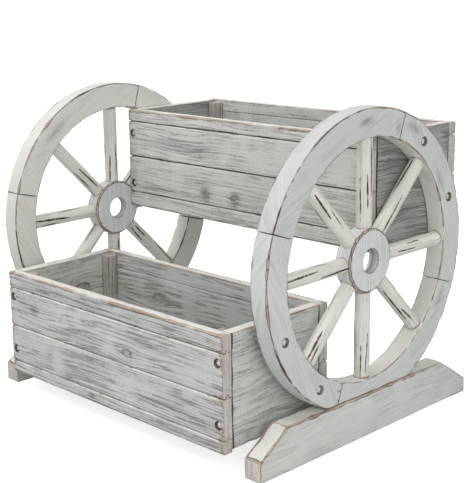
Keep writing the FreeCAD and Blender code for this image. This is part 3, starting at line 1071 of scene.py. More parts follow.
        bared = g.times_plus(ragged, 0.42, g.math("ADD", worn, self.wear))
        bare = g.rise(bared, 0.5, 0.6)
        fringe = g.times(g.math("SUBTRACT", g.rise(bared, 0.36, 0.48), bare), 0.5)
        rubbed = g.times_plus(ragged, 0.3, edge)
        open_here = g.rise(f["cloud"], self.sound, self.sound + 0.1)
        band = g.times(g.fall(rubbed, 0.8, 0.95), open_here)
        inked = g.math("SUBTRACT", g.rise(rubbed, 0.74, 0.92), g.rise(rubbed, 1.15, 1.5))
        inked = g.times(inked, g.rise(f["patch"], 0.3, 0.44))
        thin_line = g.fall(rubbed, self.fine - 0.15, self.fine + 0.15)
        thin_line = g.math("SUBTRACT", thin_line, open_here)
        inked = g.math("MAXIMUM", g.times(inked, open_here), thin_line)
        bare = g.math("MAXIMUM", bare, band)
        fringe = g.math("MAXIMUM", fringe, g.times(inked, self.ink))
        figure = g.times_plus(f["patch"], 0.6, f["fibre"])
        wood = g.mix(g.rise(figure, 0.72, 1.0), self.tan, self.brown)
        colour = g.mix(g.times(bare, 0.85), colour, wood)
        colour = g.mix(fringe, colour, self.line)

        open_wood = g.times_plus(ragged, 0.3, split)
        lips = g.rise(open_wood, 0.2, 0.32)
        deep = g.rise(open_wood, 0.36, 0.6)
        colour = g.mix(g.times(lips, 0.85), colour, self.pith)
        colour = g.mix(g.times(deep, 0.9), colour, self.cleft)
        # Black seams between pieces, and painted shade round the mouths of counterbores.
        gap = g.times_plus(ragged, 0.5, seam)
        shut = g.fall(gap, 0.75, 1.15)
        colour = g.mix(g.times(shut, 0.93), colour, self.pith)
        pores = g.rise(g.noise(f["grain"], 900.0, 3.0, 0.6), 0.55, 0.72, 0.35)
        colour = g.mix(g.times(end_grain, 0.3), colour, self.blush)
        colour = g.mix(g.times(pores, end_grain), colour, self.brown)
        g.link(colour, g.shader.inputs["Base Color"])

        rough = g.times_plus(f["cloud"], 0.16, self.roughness - 0.08)
        rough = g.times_plus(bare, 0.2, rough)
        g.link(rough, g.shader.inputs["Roughness"])
        g.shader.inputs["Specular IOR Level"].default_value = 0.32
        relief = g.times_plus(f["fibre"], -0.55, g.times(f["hair"], -0.3))
        for part, height in ((f["dark"], -0.3), (bare, -0.4), (lips, -0.7), (f["drawn"], -0.25)):
            relief = g.times_plus(part, height, relief)
        g.bump(relief, 0.0010, 0.6)
        return g.material


@dataclass(frozen=True)
class AgedScrew:
    """Browned steel of the screws, with brighter rubbed edges."""

    name: str = "aged_screw_steel"
    dark: Colour = linear(188, 180, 166)
    bright: Colour = linear(246, 243, 235)
    roughness: float = 0.34

    def material(self) -> Material:
        """Build the shader: two metals mixed by fine noise.

        Returns:
            The material.
        """
        g = Graph(self.name)
        place = g.place()
        tarnish = g.noise(place, 420.0, 4.0, 0.6)
        scratch = g.noise(g.scaled(place, (900.0, 900.0, 2600.0)), 1.0, 2.0, 0.5)
        shine = g.rise(g.times_plus(scratch, 0.4, tarnish), 0.42, 0.8)
        g.link(g.mix(shine, self.dark, self.bright), g.shader.inputs["Base Color"])
        g.shader.inputs["Metallic"].default_value = 0.55
        rough = g.times_plus(tarnish, 0.3, self.roughness - 0.15)
        g.link(rough, g.shader.inputs["Roughness"])
        g.bump(tarnish, 0.0003, 0.4)
        return g.material


@dataclass(frozen=True)
class Finishes:
    """Every finish of the stand."""

    boards: WornPaint = WornPaint(
        "worn_paint_boards",
        light=linear(212, 213, 211),
        shade=linear(194, 195, 193),
        lines=0.9,
        streaks=0.5,
        sound=0.36,
    )
    rims: WornPaint = WornPaint(
        "worn_paint_rims",
        light=linear(217, 219, 216),
        shade=linear(202, 204, 201),
        streaks=0.4,
        lines=0.2,
        ink=1.0,
        sound=0.48,
        fine=0.85,
    )
    spokes: WornPaint = WornPaint(
        "worn_paint_spokes",
        light=linear(240, 240, 231),
        shade=linear(220, 220, 212),
        streaks=0.4,
        lines=0.3,
        pith=linear(128, 108, 88),
        cleft=linear(40, 32, 26),
    )
    hubs: WornPaint = WornPaint(
        "worn_paint_hubs",
        light=linear(226, 229, 229),
        shade=linear(208, 211, 211),
        streaks=0.3,
        lines=0.22,
        ink=1.0,
    )
    feet: WornPaint = WornPaint(
        "worn_paint_feet",
        light=linear(222, 223, 218),
        shade=linear(204, 205, 200),
        streaks=0.4,
        lines=0.3,
        ink=0.9,
        sound=0.4,
        fine=0.55,
    )
    inside: WornPaint = WornPaint(
        "thin_paint_inside",
        light=linear(196, 192, 184),
        shade=linear(168, 163, 153),
        lines=0.9,
        wear=0.06,
    )
    screws: AgedScrew = AgedScrew()


# ---------------------------------------------------------------------------
# Pegs and screws


@dataclass(frozen=True)
class BoxPeg:
    """A round peg between a rim and the lower box, glued into both.

    Attributes:
        side: The wheel that it starts from.
        y: Its place from front to back.
        z: Its height above the floor.
    """

    side: Side
    y: float
    z: float
    radius: float = 0.010
    rim_face: float = 0.280
    box_face: float = 0.259
    socket_radius: ClassVar[float] = 0.0101
    socket_depth: ClassVar[float] = 0.012

    def build(self, number: int, finish: Material) -> Object:
        """Make the peg.

        Args:
            number: Its number on its side.
            finish: Its material.

        Returns:
            The piece.
        """
        reach = self.socket_depth - 0.0001
        ends = steps(self.box_face - reach, self.rim_face + reach, 0.002)
        s, a, b = bar(Disc(self.radius, 48), ends, 0.0012)
        sign = float(self.side.value)

        def place(s: Array, a: Array, b: Array) -> Array:
            """Lay s along x, a along y and b upwards."""
            return np.stack([sign * s, self.y + a, self.z + b], axis=-1)

        name = f"{self.side.word}_box_peg_{number}"
        skin = Skin(s, a, b, place, seed_of(name))
        turn = np.linspace(0.0, 2.0 * math.pi, s.shape[1], endpoint=False)
        skin.grain[..., 1] = self.radius * np.broadcast_to(turn, s.shape)
        # Darker near the box's end: soot and painted shade.
        skin.darken(0.5 * np.exp(-np.abs(s - self.box_face) / 0.004))
        skin.sag(0.00012, (0.05, 0.02))
        return make_piece(name, skin, "lower_box_pegs", finish)


@dataclass(frozen=True)
class Seat:
    """Where a screw sits: its name, the underside of its head, the head's way."""

    name: str
    start: tuple[float, float, float]
    way: tuple[float, float, float]


@dataclass(frozen=True)
class Screw:
    """A wood screw with a domed head, a crossed recess and a thread."""

    head_radius: float = 0.0050
    head_height: float = 0.0030
    dome: float = 0.0013
    shank_radius: float = 0.0020
    length: float = 0.042
    point: float = 0.006
    pitch: float = 0.0024
    thread_depth: float = 0.0004
    thread_end: float = -0.008
    cross_reach: float = 0.0027
    cross_width: float = 0.0007
    cross_depth: float = 0.0015

    def outline(self) -> Array:
        """Rows of height and radius from the tip to the middle of the dome.

        The dome's height falls from the head's full height by the dome times
        the square of the share of the radius.
        """
        sharp = np.array([0.08, 0.45, 0.75, 1.0])
        tip = [(self.point * (share - 1.0) * 0.999, share) for share in sharp]
        base = self.point - self.length
        low = [(base + height, self.shank_radius * share) for height, share in tip]
        shank = [(z, self.shank_radius) for z in np.arange(base, -0.0004, 0.0006)[1:]]
        rim = self.head_height - self.dome
        under = [(0.0, 0.6 * self.head_radius), (0.0, 0.95 * self.head_radius)]
        side = [(0.0003, self.head_radius), (rim - 0.0002, self.head_radius)]
        radii = np.concatenate([[0.975], np.linspace(0.93, 0.04, 17)])
        top = [
            (self.head_height - self.dome * share**2, self.head_radius * share) for share in radii
        ]
        return np.array(low + shank + under + side + top)

    def build(self, seat: Seat, finish: Material) -> Object:
        """Make the screw of one seat.

        Args:
            seat: Its seat.
            finish: Its material.

        Returns:
            The piece.
        """
        height, radius = self.outline().T
        turn = np.linspace(0.0, 2.0 * math.pi, 40, endpoint=False)
        s = np.repeat(height[:, None], len(turn), axis=1)
        wave = 0.5 - 0.5 * np.cos(2.0 * math.pi * s / self.pitch - turn)
        threaded = smoothstep(self.thread_end - s, 0.0, 0.002)
        reach = radius[:, None] - self.thread_depth * wave * threaded * (radius[:, None] > 0.001)
        spin = np.random.default_rng(seed_of(seat.name)).uniform(0.0, math.pi)
        a, b = reach * np.cos(turn + spin), reach * np.sin(turn + spin)
        across, along = np.abs(reach * np.cos(turn)), np.abs(reach * np.sin(turn))
        narrow, far = np.minimum(across, along), np.maximum(across, along)
        cross = 1.0 - smoothstep(narrow, 0.7 * self.cross_width, 1.2 * self.cross_width)
        cross = cross * (1.0 - smoothstep(far, 0.85 * self.cross_reach, self.cross_reach))
        s = s - self.cross_depth * cross * (s > self.head_height - self.dome)
        way = Vector(seat.way)
        turned = np.array(way.to_track_quat("Z", "Y").to_matrix())

        def place(s: Array, a: Array, b: Array) -> Array:
            """Turn a, b and s so that s runs the head's way from the seat."""
            return np.stack([a, b, s], axis=-1) @ turned.T + np.array(seat.start)

        skin = Skin(s, a, b, place, seed_of(seat.name))
        return make_piece(seat.name, skin, "screws", finish)


# ---------------------------------------------------------------------------
# Planter boxes


@dataclass
class PlanterBox:
    """One box: four boards front and back, two ends, a floor and four posts.

    Attributes:
        tier: Which of the two boxes it is.
        front: y of the front face.
        base: z of the underside.
        board_heights: Heights of the boards, from the top down.
        length: Length of the boards.
        depth: Outside depth from front to back.
        height: Outside height.
        thickness: Thickness of the boards.
        end_rise: Height of the ends' undersides above the boards' underside.
        end_gap: Gap between an end and the long walls.
        joint_shadow: Half width of the dark line in the joints of boards.
        joint_white: Painted highlight along the upper arris of those joints.
        end_soot: Soot in patches on the ends, raised as painted shade.
        end_white: Painted light all over the ends, lifting them out of the wheels' shadow.
        end_shade: Painted shade all over the ends.
        board_white: Thick paint all over the boards.
        peg_spots: Places of the pegs in the ends, as y and z.
        knots: Knots, by node.
        smudges: Dark patches, by node.
    """

    tier: Tier
    front: float
    base: float
    board_heights: tuple[float, float, float, float]
    length: float
    depth: float = 0.228
    height: float = 0.180
    thickness: float = 0.018
    joint_gap: float = 0.0006
    joint_bevel: float = 0.0015
    tongue_offset: float = 0.007
    tongue_width: float = 0.005
    tongue_height: float = 0.0045
    groove_clearance: float = 0.00025
    end_rise: float = 0.004
    end_gap: float = 0.0008
    floor_gap: float = 0.0002
    floor_low: float = 0.008
    floor_thickness: float = 0.010
    post_width: float = 0.020
    post_top: float = 0.176
    screw_inset: float = 0.011
    screw_height: float = 0.043
    counterbore_radius: float = 0.0065
    counterbore_depth: float = 0.005
    pilot_radius: float = 0.0021
    drain_radius: float = 0.006
    drain_pitch: float = 0.100
    drain_row: float = 0.045
    joint_shadow: float = 0.0009
    joint_white: float = 1.1
    end_soot: float = 0.3
    end_white: float = 0.3
    end_shade: float = 0.0
    board_white: float = 0.0
    peg_spots: tuple[tuple[float, float], ...] = ()
    knots: dict[str, tuple[Knot, ...]] = field(default_factory=dict)
    smudges: dict[str, tuple[Smudge, ...]] = field(default_factory=dict)

    def board_section(self, index: int) -> Array:
        """Section of a board as rows of depth and height.

        Args:
            index: 0 for the top board, 3 for the lowest.

        Returns:
            Its corners: bevelled face arrises, a tongue above unless it is the
            top board, and a groove below unless it is the lowest.
        """
        top = self.board_heights[index] - (self.joint_gap if index > 0 else 0.0)
        bevel, back = self.joint_bevel, self.thickness
        corners = [(bevel, 0.0)]
        if index < len(self.board_heights) - 1:
            left = self.tongue_offset - self.groove_clearance
            right = self.tongue_offset + self.tongue_width + self.groove_clearance
            roof = self.tongue_height - self.joint_gap + self.groove_clearance
            corners += [(left, 0.0), (left, roof), (right, roof), (right, 0.0)]
        corners += [(back, 0.0), (back, top)]
        if index > 0:
            left, right = self.tongue_offset, self.tongue_offset + self.tongue_width
            tip = top + self.tongue_height
            corners += [(right, top), (right, tip), (left, tip), (left, top)]
        corners += [(bevel, top), (0.0, top - bevel), (0.0, bevel)]
        return np.array(corners)

    def board(self, wall: Wall, index: int, finish: Material) -> Object:
        """Make one board of a long wall.

        Args:
            wall: Front or back.
            index: 0 for the top board.
            finish: Its material.

        Returns:
            The piece.
        """
        node = f"{self.tier.value}_box_{wall.value}_board_{index + 1}"
        section = Section(self.board_section(index), 0.0008, 0.0024, 3)
        s, a, b = bar(section, steps(-self.length / 2, self.length / 2, 0.0024), 0.0007)
        low = self.base + sum(self.board_heights[index + 1 :])
        face, sign = (self.front, 1.0) if wall is Wall.FRONT else (self.front + self.depth, -1.0)

        def place(s: Array, a: Array, b: Array) -> Array:
            """Lay s along x, a into the box and b upwards."""
            return np.stack([sign * s, face + sign * a, low + b], axis=-1)

        skin = Skin(s, a, b, place, seed_of(node))
        top = self.board_heights[index]
        skin.bright += self.board_white
        self.age_board(skin, node, index, top)
        wide: list[Drill] = []
        narrow: list[Drill] = []
        levels = {1: self.height - self.screw_height, 2: self.screw_height}
        if index in levels:
            for end in (-1.0, 1.0):
                x = end * (self.length / 2 - self.screw_inset)
                start = (x, face, self.base + levels[index])
                way = (0.0, sign, 0.0)
                wide.append(Drill(start, way, self.counterbore_radius, self.counterbore_depth))
                narrow.append(Drill(start, way, self.pilot_radius, self.thickness + 0.003))
                gap = np.hypot(skin.s * sign - x, low + b - start[2])
                near_face = np.exp(-a / 0.004)
                rim = np.exp(-np.abs(gap - self.counterbore_radius) / 0.0016) * near_face
                skin.worn = np.maximum(skin.worn, 0.5 * rim)
                # A black ring on the face round the counterbore: painted shade of the hole.
                on_face = gap - self.counterbore_radius + np.where(a > 0.004, 1.0, 0.0)
                skin.line(on_face, 0.0008, 0.2)
        name = node.replace("_board_", "_plank_")
        return make_piece(name, skin, node, finish, (wide, narrow))

    def age_board(self, skin: Skin, node: str, index: int, top: float) -> None:
        """Put grain, knots, smudges, knocks and wear on a board.

        Args:
            skin: The board's surface.
            node: Its node, which names its knots and smudges.
            index: 0 for the top board.
            top: Height of the board.
        """
        rng = np.random.default_rng(skin.seed + Draw.PLACES)
        stretched = skin.sabs * np.array([1.0, 0.3, 0.3])
        skin.grain[..., 1] += 0.004 * wander(stretched, skin.seed + Draw.GRAIN, (0.5, 0.21))
        skin.knot(self.knots.get(node, ()), skin.b)
        skin.smudge(self.smudges.get(node, ()), skin.b)
        half = self.length / 2
        end_gap = half - np.abs(skin.s)
        to_top = np.hypot(skin.a, skin.b - top)
        to_low = np.hypot(skin.a, skin.b)
        inner_top = np.hypot(skin.a - self.thickness, skin.b - top)
        if index == 0:
            skin.rub(to_top, 0.0030, 0.4)
            skin.rub(inner_top, 0.0016)
            # Painted light along the top of the top board.
            skin.whiten(np.abs(skin.b - top), 0.0012, 0.9)
        else:
            skin.wear_arris(to_top, 0.0028, 0.36, 0.9)
            below_bevel = np.maximum(top - self.joint_bevel - skin.b, 0.0)
            # Painted highlight on the top bevel of each lower board, where it catches the light.
            skin.whiten(np.hypot(skin.a, below_bevel), 0.0012, self.joint_white)
        if index == 3:
            skin.rub(to_low, 0.0022, 0.8)
        else:
            skin.wear_arris(to_low, 0.0024, 0.36, 0.9)
            skin.line(np.abs(skin.b) + skin.a * 0.5, self.joint_shadow)
        corner = np.hypot(np.minimum(end_gap, 0.02), skin.a)
        near_joint = np.exp(-np.minimum(np.abs(skin.b - top), skin.b) / 0.010)
        skin.wear_arris(corner, 0.0042, 0.7, 0.7)
        spread = 1.1 * near_joint * np.exp(-corner / 0.013)
        skin.worn = np.where(end_gap < 0.03, np.maximum(skin.worn, spread), skin.worn)
        # Darker along the lower arris and towards the ends: soot and painted shade in the joints
        # and corners.
        skin.darken(0.5 * np.exp(-to_low / 0.006))
        skin.darken(0.4 * np.exp(-end_gap / 0.010))
        skin.cloud(0.34, (0.23, 0.09), 0.1, 0.95)
        count = 16
        along = rng.uniform(-half, half, count)
        arris = rng.choice([0.0, top], count, p=[0.35, 0.65])
        depth = np.where(rng.uniform(size=count) < 0.75, 0.0, self.thickness)
        skin.knock(np.stack([along, depth, arris], axis=1), 0.0024, 0.0006)
        corners = [(end * half, 0.0, level) for end in (-1.0, 1.0) for level in (0.0, top)]
        skin.knock(np.array(corners), 0.0024, 0.0003)
        skin.sag(0.00022, (0.16, 0.07))

    def end(self, side: Side, finish: Material) -> Object:
        """Make one end: a wide board between the long walls.

        Args:
            side: Left or right.
            finish: Its material.

        Returns:
            The piece.
        """
        node = f"{self.tier.value}_box_{side.word}_end"
        half_width = self.depth / 2 - self.thickness - self.end_gap
        tall = self.height - self.end_rise
        corners = np.array([(0.0, 0.0), (0.0, tall), (self.thickness, tall), (self.thickness, 0.0)])
        section = Section(corners, 0.0011, 0.0024)
        s, a, b = bar(section, steps(-half_width, half_width, 0.0024), 0.0010)
        outer, sign = side.value * self.length / 2, float(side.value)
        middle, low = self.front + self.depth / 2, self.base + self.end_rise

        def place(s: Array, a: Array, b: Array) -> Array:
            """Lay s along y, a in from the outer face and b upwards."""
            return np.stack([outer - sign * a, middle + s, low + b], axis=-1)

        skin = Skin(s, a, b, place, seed_of(node))
        rng = np.random.default_rng(skin.seed + Draw.PLACES)
        wave = wander(skin.sabs, skin.seed + Draw.GRAIN, (0.3, 0.13))
        skin.grain[..., 1] += 0.006 * wave
        skin.knot(self.knots.get(node, ()), skin.b)
        skin.smudge(self.smudges.get(node, ()), skin.b)
        skin.wear_arris(np.hypot(a, b - tall), 0.0030, 0.8, 0.5)
        skin.wear_arris(np.hypot(a, b), 0.0026, 0.55)
        edge = half_width - np.abs(s)
        skin.wear_arris(np.hypot(a, edge), 0.0018, 0.4, 0.9)
        skin.line(edge + 0.5 * a, 0.0019, 0.85)
        # Painted shade all over the end, as dark grain.
        skin.shade[...] = self.end_shade
        # Painted light along the top of the end.
        skin.whiten(np.abs(b - tall), 0.0012, 0.8)
        # Darker near the edges beside the long walls: soot and painted shade.
        skin.darken(0.5 * np.exp(-edge / 0.005))
        # Soot in patches, with painted shade where the amount is raised.
        squeezed = skin.sabs * np.array([1.0, 1.0, 2.6])
        patches = wander(squeezed, skin.seed + Draw.PATCHES, (0.2, 0.08))
        skin.darken(self.end_soot * smoothstep(patches, 0.0, 0.9))
        # Painted light: the ends are whitened all over against the wheels' shadow.
        skin.bright = np.maximum(skin.bright, self.end_white)
        along = rng.uniform(-half_width, half_width, 9)
        level = rng.choice([0.0, tall], 9)
        skin.knock(np.stack([along, 0.0 * along, level], axis=1), 0.0026, 0.0007)
        skin.sag(0.0002, (0.12, 0.05))
        sockets = [
            Drill((outer, *spot), (-sign, 0.0, 0.0), BoxPeg.socket_radius, BoxPeg.socket_depth)
            for spot in self.peg_spots
        ]
        name = node.replace("_end", "_end_panel")
        return make_piece(name, skin, node, finish, (sockets,))

    def floor(self, finish: Material) -> Object:
        """Make the floor with its drain holes.

        Args:
            finish: Its material.

        Returns:
            The piece.
        """
        node = f"{self.tier.value}_box_floor"
        low_corner, high_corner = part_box(node)
        half_length = (high_corner.x - low_corner.x) / 2
        half_depth = (high_corner.y - low_corner.y) / 2
        thick = high_corner.z - low_corner.z
        corners = np.array(
            [(-half_depth, 0.0), (-half_depth, thick), (half_depth, thick), (half_depth, 0.0)]
        )
        section = Section(corners, 0.0010, 0.005)
        s, a, b = bar(section, steps(-half_length, half_length, 0.005), 0.0008)
        middle = (low_corner.y + high_corner.y) / 2

        def place(s: Array, a: Array, b: Array) -> Array:
            """Lay s along x, a along y and b upwards."""
            return np.stack([s, middle + a, low_corner.z + b], axis=-1)

        skin = Skin(s, a, b, place, seed_of(node))
        skin.grain[..., 1] += 0.005 * wander(skin.sabs, skin.seed + Draw.GRAIN, (0.4, 0.2))
        skin.soot = 0.35 + 0.35 * wander(skin.sabs, skin.seed + Draw.PATCHES, (0.14, 0.06))
        drills = [
            Drill(
                (column * self.drain_pitch, middle + row * self.drain_row, high_corner.z),
                (0.0, 0.0, -1.0),
                self.drain_radius,
                thick + 0.002,
            )
            for column in range(-2, 3)
            for row in (-1, 1)
        ]
        name = f"{self.tier.value}_box_bottom"
        return make_piece(name, skin, node, finish, (drills,))

    def post(self, wall: Wall, side: Side, finish: Material) -> Object:
        """Make a corner post.

        Args:
            wall: Front or back.
            side: Left or right.
            finish: Its material.

        Returns:
            The piece.
        """
        node = f"{self.tier.value}_box_{wall.value}_{side.word}_post"
        low_corner, high_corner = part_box(node)
        width = high_corner.x - low_corner.x
        corners = np.array([(0.0, 0.0), (0.0, width), (width, width), (width, 0.0)])
        section = Section(corners, 0.0012, 0.002)
        s, a, b = bar(section, steps(0.0, high_corner.z - low_corner.z, 0.003), 0.0012)

        def place(s: Array, a: Array, b: Array) -> Array:
            """Stand s upwards, with a along x and b along y."""
            return np.stack([low_corner.x + a, low_corner.y + b, low_corner.z + s], axis=-1)

        skin = Skin(s, a, b, place, seed_of(node))
        to_side = np.minimum(a, width - a)
        to_wall = np.minimum(b, width - b)
        skin.wear_arris(np.hypot(to_side, to_wall), 0.0022, 0.6)
        skin.sag(0.00015, (0.06, 0.025))
        name = node.replace("_post", "_corner_post")
        return make_piece(name, skin, node, finish)

    def screw_seats(self) -> list[Seat]:
        """Seats of the screws in the front and back boards."""
        seats = []
        sunk = self.counterbore_depth
        levels = {"upper": self.height - self.screw_height, "lower": self.screw_height}
        back = self.front + self.depth
        faces = ((Wall.FRONT, self.front + sunk, -1.0), (Wall.BACK, back - sunk, 1.0))
        for wall, y, way in faces:
            for side in Side:
                x = side.value * (self.length / 2 - self.screw_inset)
                for word, level in levels.items():
                    name = f"{self.tier.value}_box_{wall.value}_{side.word}_{word}_screw"
                    seats.append(Seat(name, (x, y, self.base + level), (0.0, way, 0.0)))
        return seats

    def build(self, boards: Material, inside: Material) -> None:
        """Make every piece of the box.

        Args:
            boards: Finish of the walls and ends.
            inside: Finish of the floor and posts.
        """
        for wall in Wall:
            for index in range(len(self.board_heights)):
                self.board(wall, index, boards)
            for side in Side:
                self.post(wall, side, inside)
        for side in Side:
            self.end(side, boards)
        self.floor(inside)


# ---------------------------------------------------------------------------
# Wheels and feet


@dataclass
class WagonWheel:
    """A wheel that stands on its foot: four felloes, eight spokes and a hub.

    The first of the four joints between felloes differs from wheel to wheel.
    Angles are in degrees in the plane of the wheel, 0 towards the back and 90
    up. The distance out of that plane is w, and it grows away from the boxes.
    """

    side: Side
    first_joint: float
    centre_x: float = 0.296
    axle_y: float = 0.002
    axle_z: float = 0.280
    outer_radius: float = 0.232
    inner_radius: float = 0.187
    thickness: float = 0.032
    edge_round: float = 0.002
    flat_drop: float = 0.210
    spoke_radius: float = 0.012
    socket_depth: float = 0.012
    hub_radius: float = 0.050
    hub_width: float = 0.030
    hub_bevel: float = 0.0025
    bore_radius: float = 0.0185
    recess_radius: float = 0.033
    recess_depth: float = 0.016
    screw_radius: float = 0.2095
    screw_angles: tuple[float, ...] = (52.5, 19.0, 203.0, 236.0)
    peg_angles: tuple[float, ...] = (203.0, 236.0)
    counterbore_radius: float = 0.0065
    counterbore_depth: float = 0.005
    pilot_radius: float = 0.0021
    rim_white: float = 0.0

    def spot(self, along_y: Array, up: Array, w: Array) -> Array:
        """Points from their place in the plane of the wheel and their w."""
        x = self.side.value * (self.centre_x + w)
        return np.stack([x, self.axle_y + along_y, self.axle_z + up], axis=-1)

    def felloe(self, index: int, finish: Material) -> Object:
        """Make a quarter of the rim.

        Args:
            index: 0 to 3, from the first joint on.
            finish: Its material.

        Returns:
            The piece.
        """
        node = f"{self.side.word}_wheel_felloe_{index + 1}"
        start = math.radians(self.first_joint + 90.0 * index)
        half, inner, outer = self.thickness / 2, self.inner_radius, self.outer_radius
        middle = (inner + outer) / 2
        corners = np.array([(-half, inner), (-half, outer), (half, outer), (half, inner)])
        section = Section(corners, 1.3 * self.edge_round, 0.0022, 5)
        s, a, b = bar(section, steps(0.0, middle * math.pi / 2, 0.0024), 0.0005)

        def place(s: Array, a: Array, b: Array) -> Array:
            """Carry s round the arc, a out of the plane and b as the radius.

            Where the rim is cut flat, radii are drawn in evenly so that the
            outer one stays on the chord: the drop over the cosine of the angle
            from straight down.
            """
            angle = start + s / middle
            from_down = np.cos(angle + math.pi / 2)
            chord = self.flat_drop / np.maximum(from_down, 0.5)
            reach = np.minimum(outer, chord)
            radius = inner + (b - inner) * (reach - inner) / (outer - inner)
            return self.spot(radius * np.cos(angle), radius * np.sin(angle), a)

        skin = Skin(s, a, b, place, seed_of(node))
        angle = start + s / middle
        turn = start + math.pi / 4
        radial = np.stack([b * np.cos(angle), b * np.sin(angle)], axis=-1)
        skin.grain[..., 0] = radial @ np.array([-math.sin(turn), math.cos(turn)])
        skin.grain[..., 1] = radial @ np.array([math.cos(turn), math.sin(turn)]) + a
        skin.grain[..., 1] += 0.003 * wander(skin.sabs, skin.seed + Draw.GRAIN, (0.3, 0.12))
        self.age_felloe(skin, middle * math.pi / 2, RIM_SMUDGES.get(node, ()))
        chips = [(along, half, radius) for along, radius in RIM_CHIPS.get(node, ())]
        skin.knock(np.array(chips).reshape(-1, 3), 0.0024, 0.0012, 0.8)
        flat = self.spot(b * np.cos(angle), b * np.sin(angle), a)
        for screw_angle in self.screw_angles:
            y, z = self.rim_spot(screw_angle)
            # A black ring on the face round each counterbore: painted shade of the hole.
            gap = np.hypot(flat[..., 1] - y, flat[..., 2] - z) - self.counterbore_radius
            skin.line(gap + np.where(a < half - 0.004, 1.0, 0.0), 0.0013, 0.2)
        return make_piece(
            node.replace("_felloe_", "_rim_quarter_"), skin, node, finish,
            self.felloe_drills(index),
        )

    def age_felloe(self, skin: Skin, arc: float, marks: tuple[Smudge, ...]) -> None:
        """Wear the arrises of a felloe and mark its joints.

        Args:
            skin: Its surface.
            arc: Length of its middle line.
            marks: Its smudges, by length of arc and by radius.
        """
        rng = np.random.default_rng(skin.seed + Draw.PLACES)
        half = self.thickness / 2
        from_face = half - np.abs(skin.a)
        skin.rub(np.hypot(from_face, self.outer_radius - skin.b), 0.0022, 0.6)
        skin.rub(np.hypot(from_face, skin.b - self.inner_radius), 0.0018, 0.6)
        joint = np.minimum(skin.s, arc - skin.s)
        skin.wear_arris(joint, 0.0020, 0.42, 0.9)
        # Darker near the joints: soot and painted shade.
        skin.darken(0.4 * np.exp(-joint / 0.006))
        skin.cloud(0.22, (0.16, 0.07), 0.1, 0.9)
        # Painted light over the whole felloe, lifting a wheel that the boxes shade.
        skin.bright = np.maximum(skin.bright, self.rim_white)
        skin.smudge(marks, skin.b)
        skin.line(joint, 0.0009, 0.5)
        # Painted light on the inner band of the rim.
        skin.whiten(skin.b - self.inner_radius, 0.0015, 0.9)
        count = 26
        along = rng.uniform(0.0, arc, count)
        face = rng.choice([-half, half], count, p=[0.3, 0.7])
        radius = rng.choice([self.inner_radius, self.outer_radius], count, p=[0.35, 0.65])
        skin.knock(np.stack([along, face, radius], axis=1), 0.0026, 0.0008)
        radii = (self.inner_radius, self.outer_radius)
        corners = [(end, w, r) for end in (0.0, arc) for w in (-half, half) for r in radii]
        skin.knock(np.array(corners), 0.0022, 0.0005)
        skin.sag(0.00025, (0.11, 0.05))

    def rim_spot(self, angle: float) -> tuple[float, float]:
        """Place of a rim screw as y and z, from its angle in degrees."""
        turn = math.radians(angle)
        up = self.axle_z + self.screw_radius * math.sin(turn)
        return self.axle_y + self.screw_radius * math.cos(turn), up

    def felloe_drills(self, index: int) -> Drills:
        """Spoke sockets, screw holes and peg sockets of a felloe.

        Args:
            index: 0 to 3, from the first joint on.

        Returns:
            Its wide holes and its narrow holes.
        """
        first = self.first_joint + 90.0 * index
        sign = float(self.side.value)
        face = sign * (self.centre_x + self.thickness / 2)
        back = sign * (self.centre_x - self.thickness / 2)
        wide: list[Drill] = []
        narrow: list[Drill] = []

        def holds(angle: float) -> bool:
            """Whether an angle lies on this felloe."""
            return (angle - first) % 360.0 < 90.0

        for angle in filter(holds, (45.0 * number for number in range(8))):
            way = (0.0, math.cos(math.radians(angle)), math.sin(math.radians(angle)))
            start = (
                sign * self.centre_x,
                self.axle_y + self.inner_radius * way[1],
                self.axle_z + self.inner_radius * way[2],
            )
            wide.append(Drill(start, way, self.spoke_radius + 0.0001, self.socket_depth))
        for angle in filter(holds, self.screw_angles):
            start = (face, *self.rim_spot(angle))
            way = (-sign, 0.0, 0.0)
            wide.append(Drill(start, way, self.counterbore_radius, self.counterbore_depth))
            narrow.append(Drill(start, way, self.pilot_radius, self.thickness + 0.002))
        for angle in filter(holds, self.peg_angles):
            start = (back, *self.rim_spot(angle))
            wide.append(Drill(start, (sign, 0.0, 0.0), BoxPeg.socket_radius, BoxPeg.socket_depth))
        return wide, narrow

    def spoke(self, index: int, finish: Material) -> Object:
        """Make a round spoke with long splits in its paint.

        Args:
            index: 0 to 7, at 45 degrees each.
            finish: Its material.

        Returns:
            The piece.
        """
        node = f"{self.side.word}_wheel_spoke_{index + 1}"
        low = self.hub_radius - self.socket_depth + 0.0001
        high = self.inner_radius + self.socket_depth - 0.0001
        s, a, b = bar(Disc(self.spoke_radius, 64), steps(low, high, 0.0020), 0.0015)
        angle = math.radians(45.0 * index)
        out = np.array([math.cos(angle), math.sin(angle)])
        sideways = np.array([-math.sin(angle), math.cos(angle)])

        def place(s: Array, a: Array, b: Array) -> Array:
            """Run s out from the axle, a round the wheel and b out of it."""
            in_plane = s[..., None] * out + a[..., None] * sideways
            return self.spot(in_plane[..., 0], in_plane[..., 1], b)

